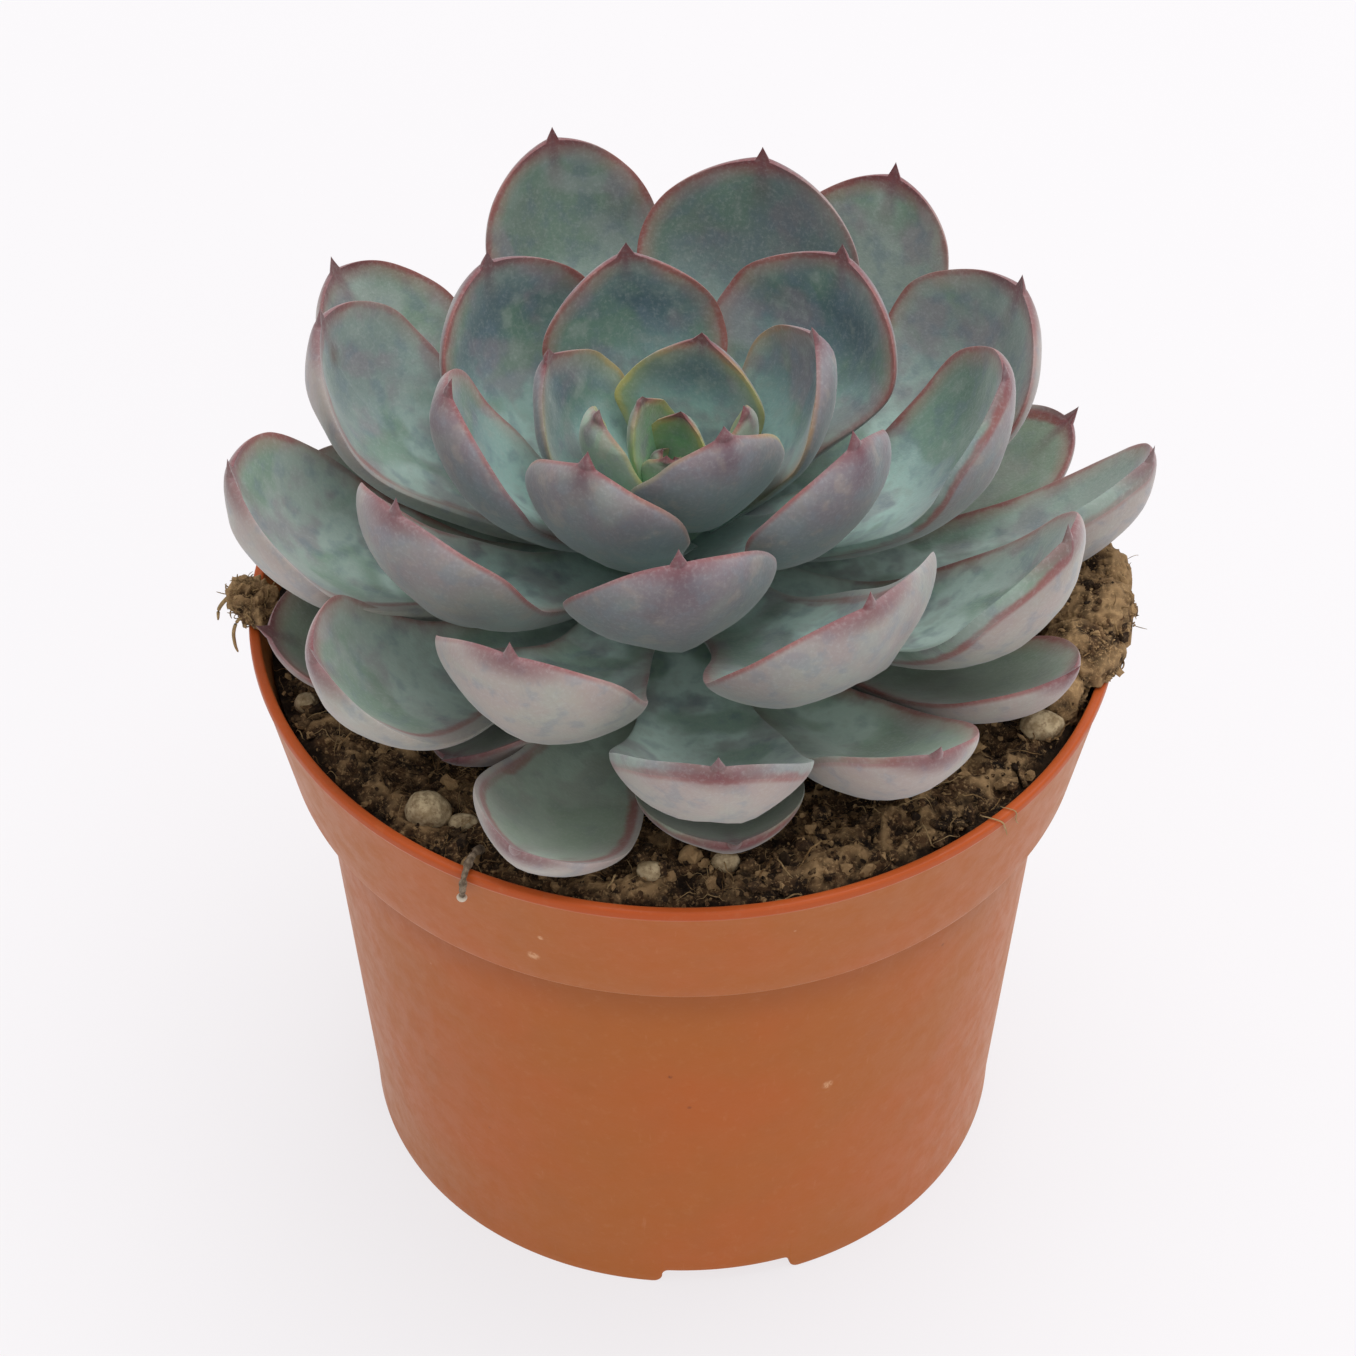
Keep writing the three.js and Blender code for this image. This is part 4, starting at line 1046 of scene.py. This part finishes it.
def leaf_skin(name, young=False):
    """Waxy succulent skin. Above: turquoise at the neck, dusky blue-grey towards the tip, clouded
    with green and mauve, and on some leaves at the back darkened by painted shade. The margin is a
    thin red line that fades through orange above and through mauve below. Below: grey, from
    blue-green to mauve towards the tip, paler on outer leaves. The tip is maroon. A fine bloom
    speckles all of it and shows most at grazing angles."""
    finish = Finish(name)
    noise, ramp, times = finish.noise, finish.ramp, finish.times
    keys = ("edge", "along", "across", "age", "wander", "flank", "deep", "scar")
    edge, along, across, age, wander, flank, deep, scar = (finish.read(key) for key in keys)
    middle = finish.calc("ABSOLUTE", across)
    grid = finish.node("ShaderNodeCombineXYZ", {0: across, 1: along, 2: times(wander, 40)})
    inputs = {0: grid.outputs[0], 1: (0.020, 0.0022, 0.001)}
    lengthwise = finish.node("ShaderNodeVectorMath", inputs, operation="MULTIPLY").outputs[0]
    cloudy = noise(9, 3, 0.55)
    drifting = noise(14, 2, 0.5, twist=0.6)
    patchy = noise(3.2, 3, 0.5)
    streaky = noise(1.0, 3, 0.6, lengthwise)

    # Upper face
    dusk = finish.mix(ramp(age, 0.3, 0.62), (60, 84, 92), (133, 147, 139))
    pale = finish.mix(ramp(age, 0.2, 0.6), (144, 180, 172), (182, 208, 198))
    if young:
        dusk = (84, 138, 88)
        pale = (130, 186, 130)
    above = finish.coats(
        pale,
        (ramp(along, 0.4, 0.82), dusk),
        (ramp(edge, 7, 2, 0, 0.3), (132, 152, 140)),
        (ramp(cloudy, 0.48, 0.62, 0, 0.55), (122, 112, 120)),
        (ramp(drifting, 0.5, 0.62, 0, 0.6), (92, 124, 100)),
        (ramp(patchy, 0.52, 0.3, 0, 0.42), (92, 110, 122)),
        (ramp(patchy, 0.52, 0.72, 0, 0.4), (138, 150, 142)),
        (ramp(streaky, 0.56, 0.74, 0, 0.14), (150, 160, 156)),
        (ramp(age, 0.66, 0.86, 0, 0.6), (136, 150, 129)),
        # Painted shade: the upper face of some leaves at the back is darkened by the amount each holds.
        (deep, (54, 70, 70)),
    )

    # Margin, seen from above
    weak = times(ramp(along, 0.12, 0.55, 0.1, 1.0), ramp(drifting, 0.34, 0.6, 0.4, 1.0))
    wavering = times(finish.calc("SUBTRACT", patchy, 0.5), 1.4)
    shown_edge = finish.calc("ADD", edge, wavering)
    open_side = times(weak, ramp(flank, 0.1, 1.0, 1.0, 0.15))
    fresh = times(ramp(age, 0.28, 0.14), ramp(along, 1.0, 0.75))
    glow = finish.mix(fresh, (150, 112, 98), (146, 160, 98))
    red = finish.mix(fresh, (128, 70, 66), (170, 164, 96))
    above = finish.coats(
        above,
        (times(ramp(shown_edge, 3.6, 0.3, 0, 0.6), open_side), glow),
        (times(ramp(shown_edge, 1.2, 0.3, 0, 0.85), weak), red),
        (times(ramp(middle, 0.2, 0.02, 0, 0.5), ramp(along, 0.84, 0.99)), (96, 62, 70)),
    )

    # Underside
    older = ramp(age, 0.34, 0.55)
    below = finish.mix(older, (114, 134, 134), (158, 164, 153))
    blush = finish.mix(older, (122, 114, 120), (158, 146, 140))
    if young:
        below = (150, 184, 156)
        blush = (122, 138, 122)
    keel = times(ramp(middle, 0.5, 0.05), ramp(along, 0.8, 0.97))
    below = finish.coats(
        below,
        (times(ramp(along, 0.4, 0.92), ramp(cloudy, 0.3, 0.6, 0.45, 1.0)), blush),
        (ramp(streaky, 0.5, 0.75, 0, 0.3), (138, 130, 132)),
        (ramp(drifting, 0.5, 0.66, 0, 0.35), (146, 156, 142)),
        (ramp(patchy, 0.48, 0.34, 0, 0.45), (118, 128, 136)),
        (ramp(patchy, 0.54, 0.68, 0, 0.35), (162, 150, 138)),
        (times(ramp(edge, -4.2, -0.4, 0, 0.28), weak), (138, 110, 112)),
        (times(ramp(edge, -0.9, -0.2, 0, 0.85), weak), red),
        (times(keel, ramp(age, 0.5, 0.3, 0, 0.6)), (96, 64, 78)),
    )

    # Both, with the maroon tip, scars and bloom
    color = finish.coats(
        below,
        (ramp(edge, -0.05, 0.05), above),
        (ramp(along, 0.945, 1.0, 0, 0.75), (104, 56, 62)),
        (times(scar, 0.7), (88, 66, 56)),
        (ramp(noise(0.6, 3, 0.7), 0.45, 0.75, 0, 0.14), (190, 194, 192)),
    )
    rough = ramp(patchy, 0.3, 0.7, 0.5, 0.62)
    relief = finish.calc("ADD", noise(0.35, 2), times(noise(2.2, 2), 2.5))
    even = {"Specular IOR Level": 0.35, "Sheen Weight": 0.3, "Sheen Roughness": 0.45}
    return finish.close(color, rough, relief, 0.04, even)


leaf_finish = leaf_skin("waxy leaf skin")
for index in range(HEART_LEAVES, LEAF_COUNT):
    points, faces, values = leaf_skin_points(index)
    piece_name = f"leaf_skin_{index:02d}"
    add_piece(piece_name, points, faces, leaf_finish, "leaf_skin", f"leaf_{index:02d}", **values)

# ---- stem and heart --------------------------------------------------------------------------
# The short stem, hidden by the leaf bases, and the tight young leaves that grow from its top.
# They are greener than the others, with yellow-green margins and purple tips.

STEM_CLEARANCE = 0.8
STEM_DEPTH = 12
STEM_COLUMNS = 48
STEM_VALUES = {
    "edge": -8, "flank": 0, "scar": 0, "along": 0.2, "across": 0, "deep": 0, "age": 0, "wander": 0,
}


def stem_skin():
    """The stem's outline, a little wider than the circle that the leaf bases stand on, turned, with
    the same value at all of its points for each that a leaf's points hold."""
    heights, radii = LEAF_STATIONS[::-2, -2], LEAF_STATIONS[::-2, -1] + STEM_CLEARANCE
    bottom, top = heights[0] - STEM_DEPTH, heights[-1] + STEM_CLEARANCE
    outline = np.column_stack([[radii[0], *radii], [bottom, *heights]])
    middle = np.array([ROSETTE_X, ROSETTE_Y, 0])
    rings = middle + polar(outline[:, :1], turns(STEM_COLUMNS), outline[:, 1:])
    points, faces = closed_skin(middle + (0, 0, bottom), rings, middle + (0, 0, top))
    return points, faces, {key: np.full(len(points), level) for key, level in STEM_VALUES.items()}


heart_parts = [stem_skin()] + [leaf_skin_points(index) for index in range(HEART_LEAVES)]
points, faces = joined([part[:2] for part in heart_parts])
values = {key: np.concatenate([part[2][key] for part in heart_parts]) for key in heart_parts[0][2]}
young_finish = leaf_skin("young leaf skin", True)
add_piece("heart_skin", points, faces, young_finish, "heart_skin", "heart", **values)

# ---- studio ----------------------------------------------------------------------------------
# A plain pale floor under soft light from all round, with a wide soft lamp above.

FLOOR_HALF = 20000
FLOOR_COLOR = (251, 249, 251)
FLOOR_SHADE = (112, 111, 112)
FLOOR_GLOW = 0.765
SKY_STRENGTH = 0.8
LAMP_AIM = (0, 0, 60)
LAMP_WIDTH = 1200


def studio_floor():
    """A flat square, large enough to meet the pale sky far away, that shines softly by itself so
    that shadows on it stay faint."""
    corners = np.array([(-1, -1, 0), (1, -1, 0), (1, 1, 0), (-1, 1, 0)]) * FLOOR_HALF
    mesh = new_mesh("studio_floor", corners, [(0, 1, 2, 3)])
    floor = in_scene("studio_floor", mesh)
    finish = Finish("pale studio floor")
    patches = finish.ramp(finish.noise(60, 2), 0.3, 0.7, 0, 0.3)
    color = finish.mix(patches, FLOOR_SHADE, (110, 109, 110))
    glow = {"Emission Color": FLOOR_COLOR, "Emission Strength": FLOOR_GLOW}
    mesh.materials.append(finish.close(color, 0.9, even={"Specular IOR Level": 0.0, **glow}))


def studio_lamp(name, place, power):
    """A square lamp that faces the plant."""
    data = bpy.data.lights.new(name, "AREA")
    data.shape = "SQUARE"
    data.size = LAMP_WIDTH * MM
    data.energy = power
    lamp = in_scene(name, data)
    way = np.array(place, float) - LAMP_AIM
    lamp.location = np.array(place) * MM
    lean = math.atan2(math.hypot(way[0], way[1]), way[2])
    lamp.rotation_euler = (lean, 0, math.atan2(way[1], way[0]) + math.pi / 2)


studio_floor()
studio_lamp("lamp_above", (260, 330, 1350), 16)
studio_lamp("lamp_front", (500, -1300, 600), 5)

world = bpy.data.worlds.new("studio_sky")
world.use_nodes = True
sky = world.node_tree.nodes["Background"]
sky.inputs["Color"].default_value = linear(*FLOOR_COLOR)
light_path = world.node_tree.nodes.new("ShaderNodeLightPath")
seen = world.node_tree.nodes.new("ShaderNodeMix")
seen.inputs[2].default_value = SKY_STRENGTH
seen.inputs[3].default_value = 1.0
world.node_tree.links.new(light_path.outputs["Is Camera Ray"], seen.inputs[0])
world.node_tree.links.new(seen.outputs[0], sky.inputs["Strength"])
bpy.context.scene.world = world
bpy.context.scene.view_settings.view_transform = "Standard"
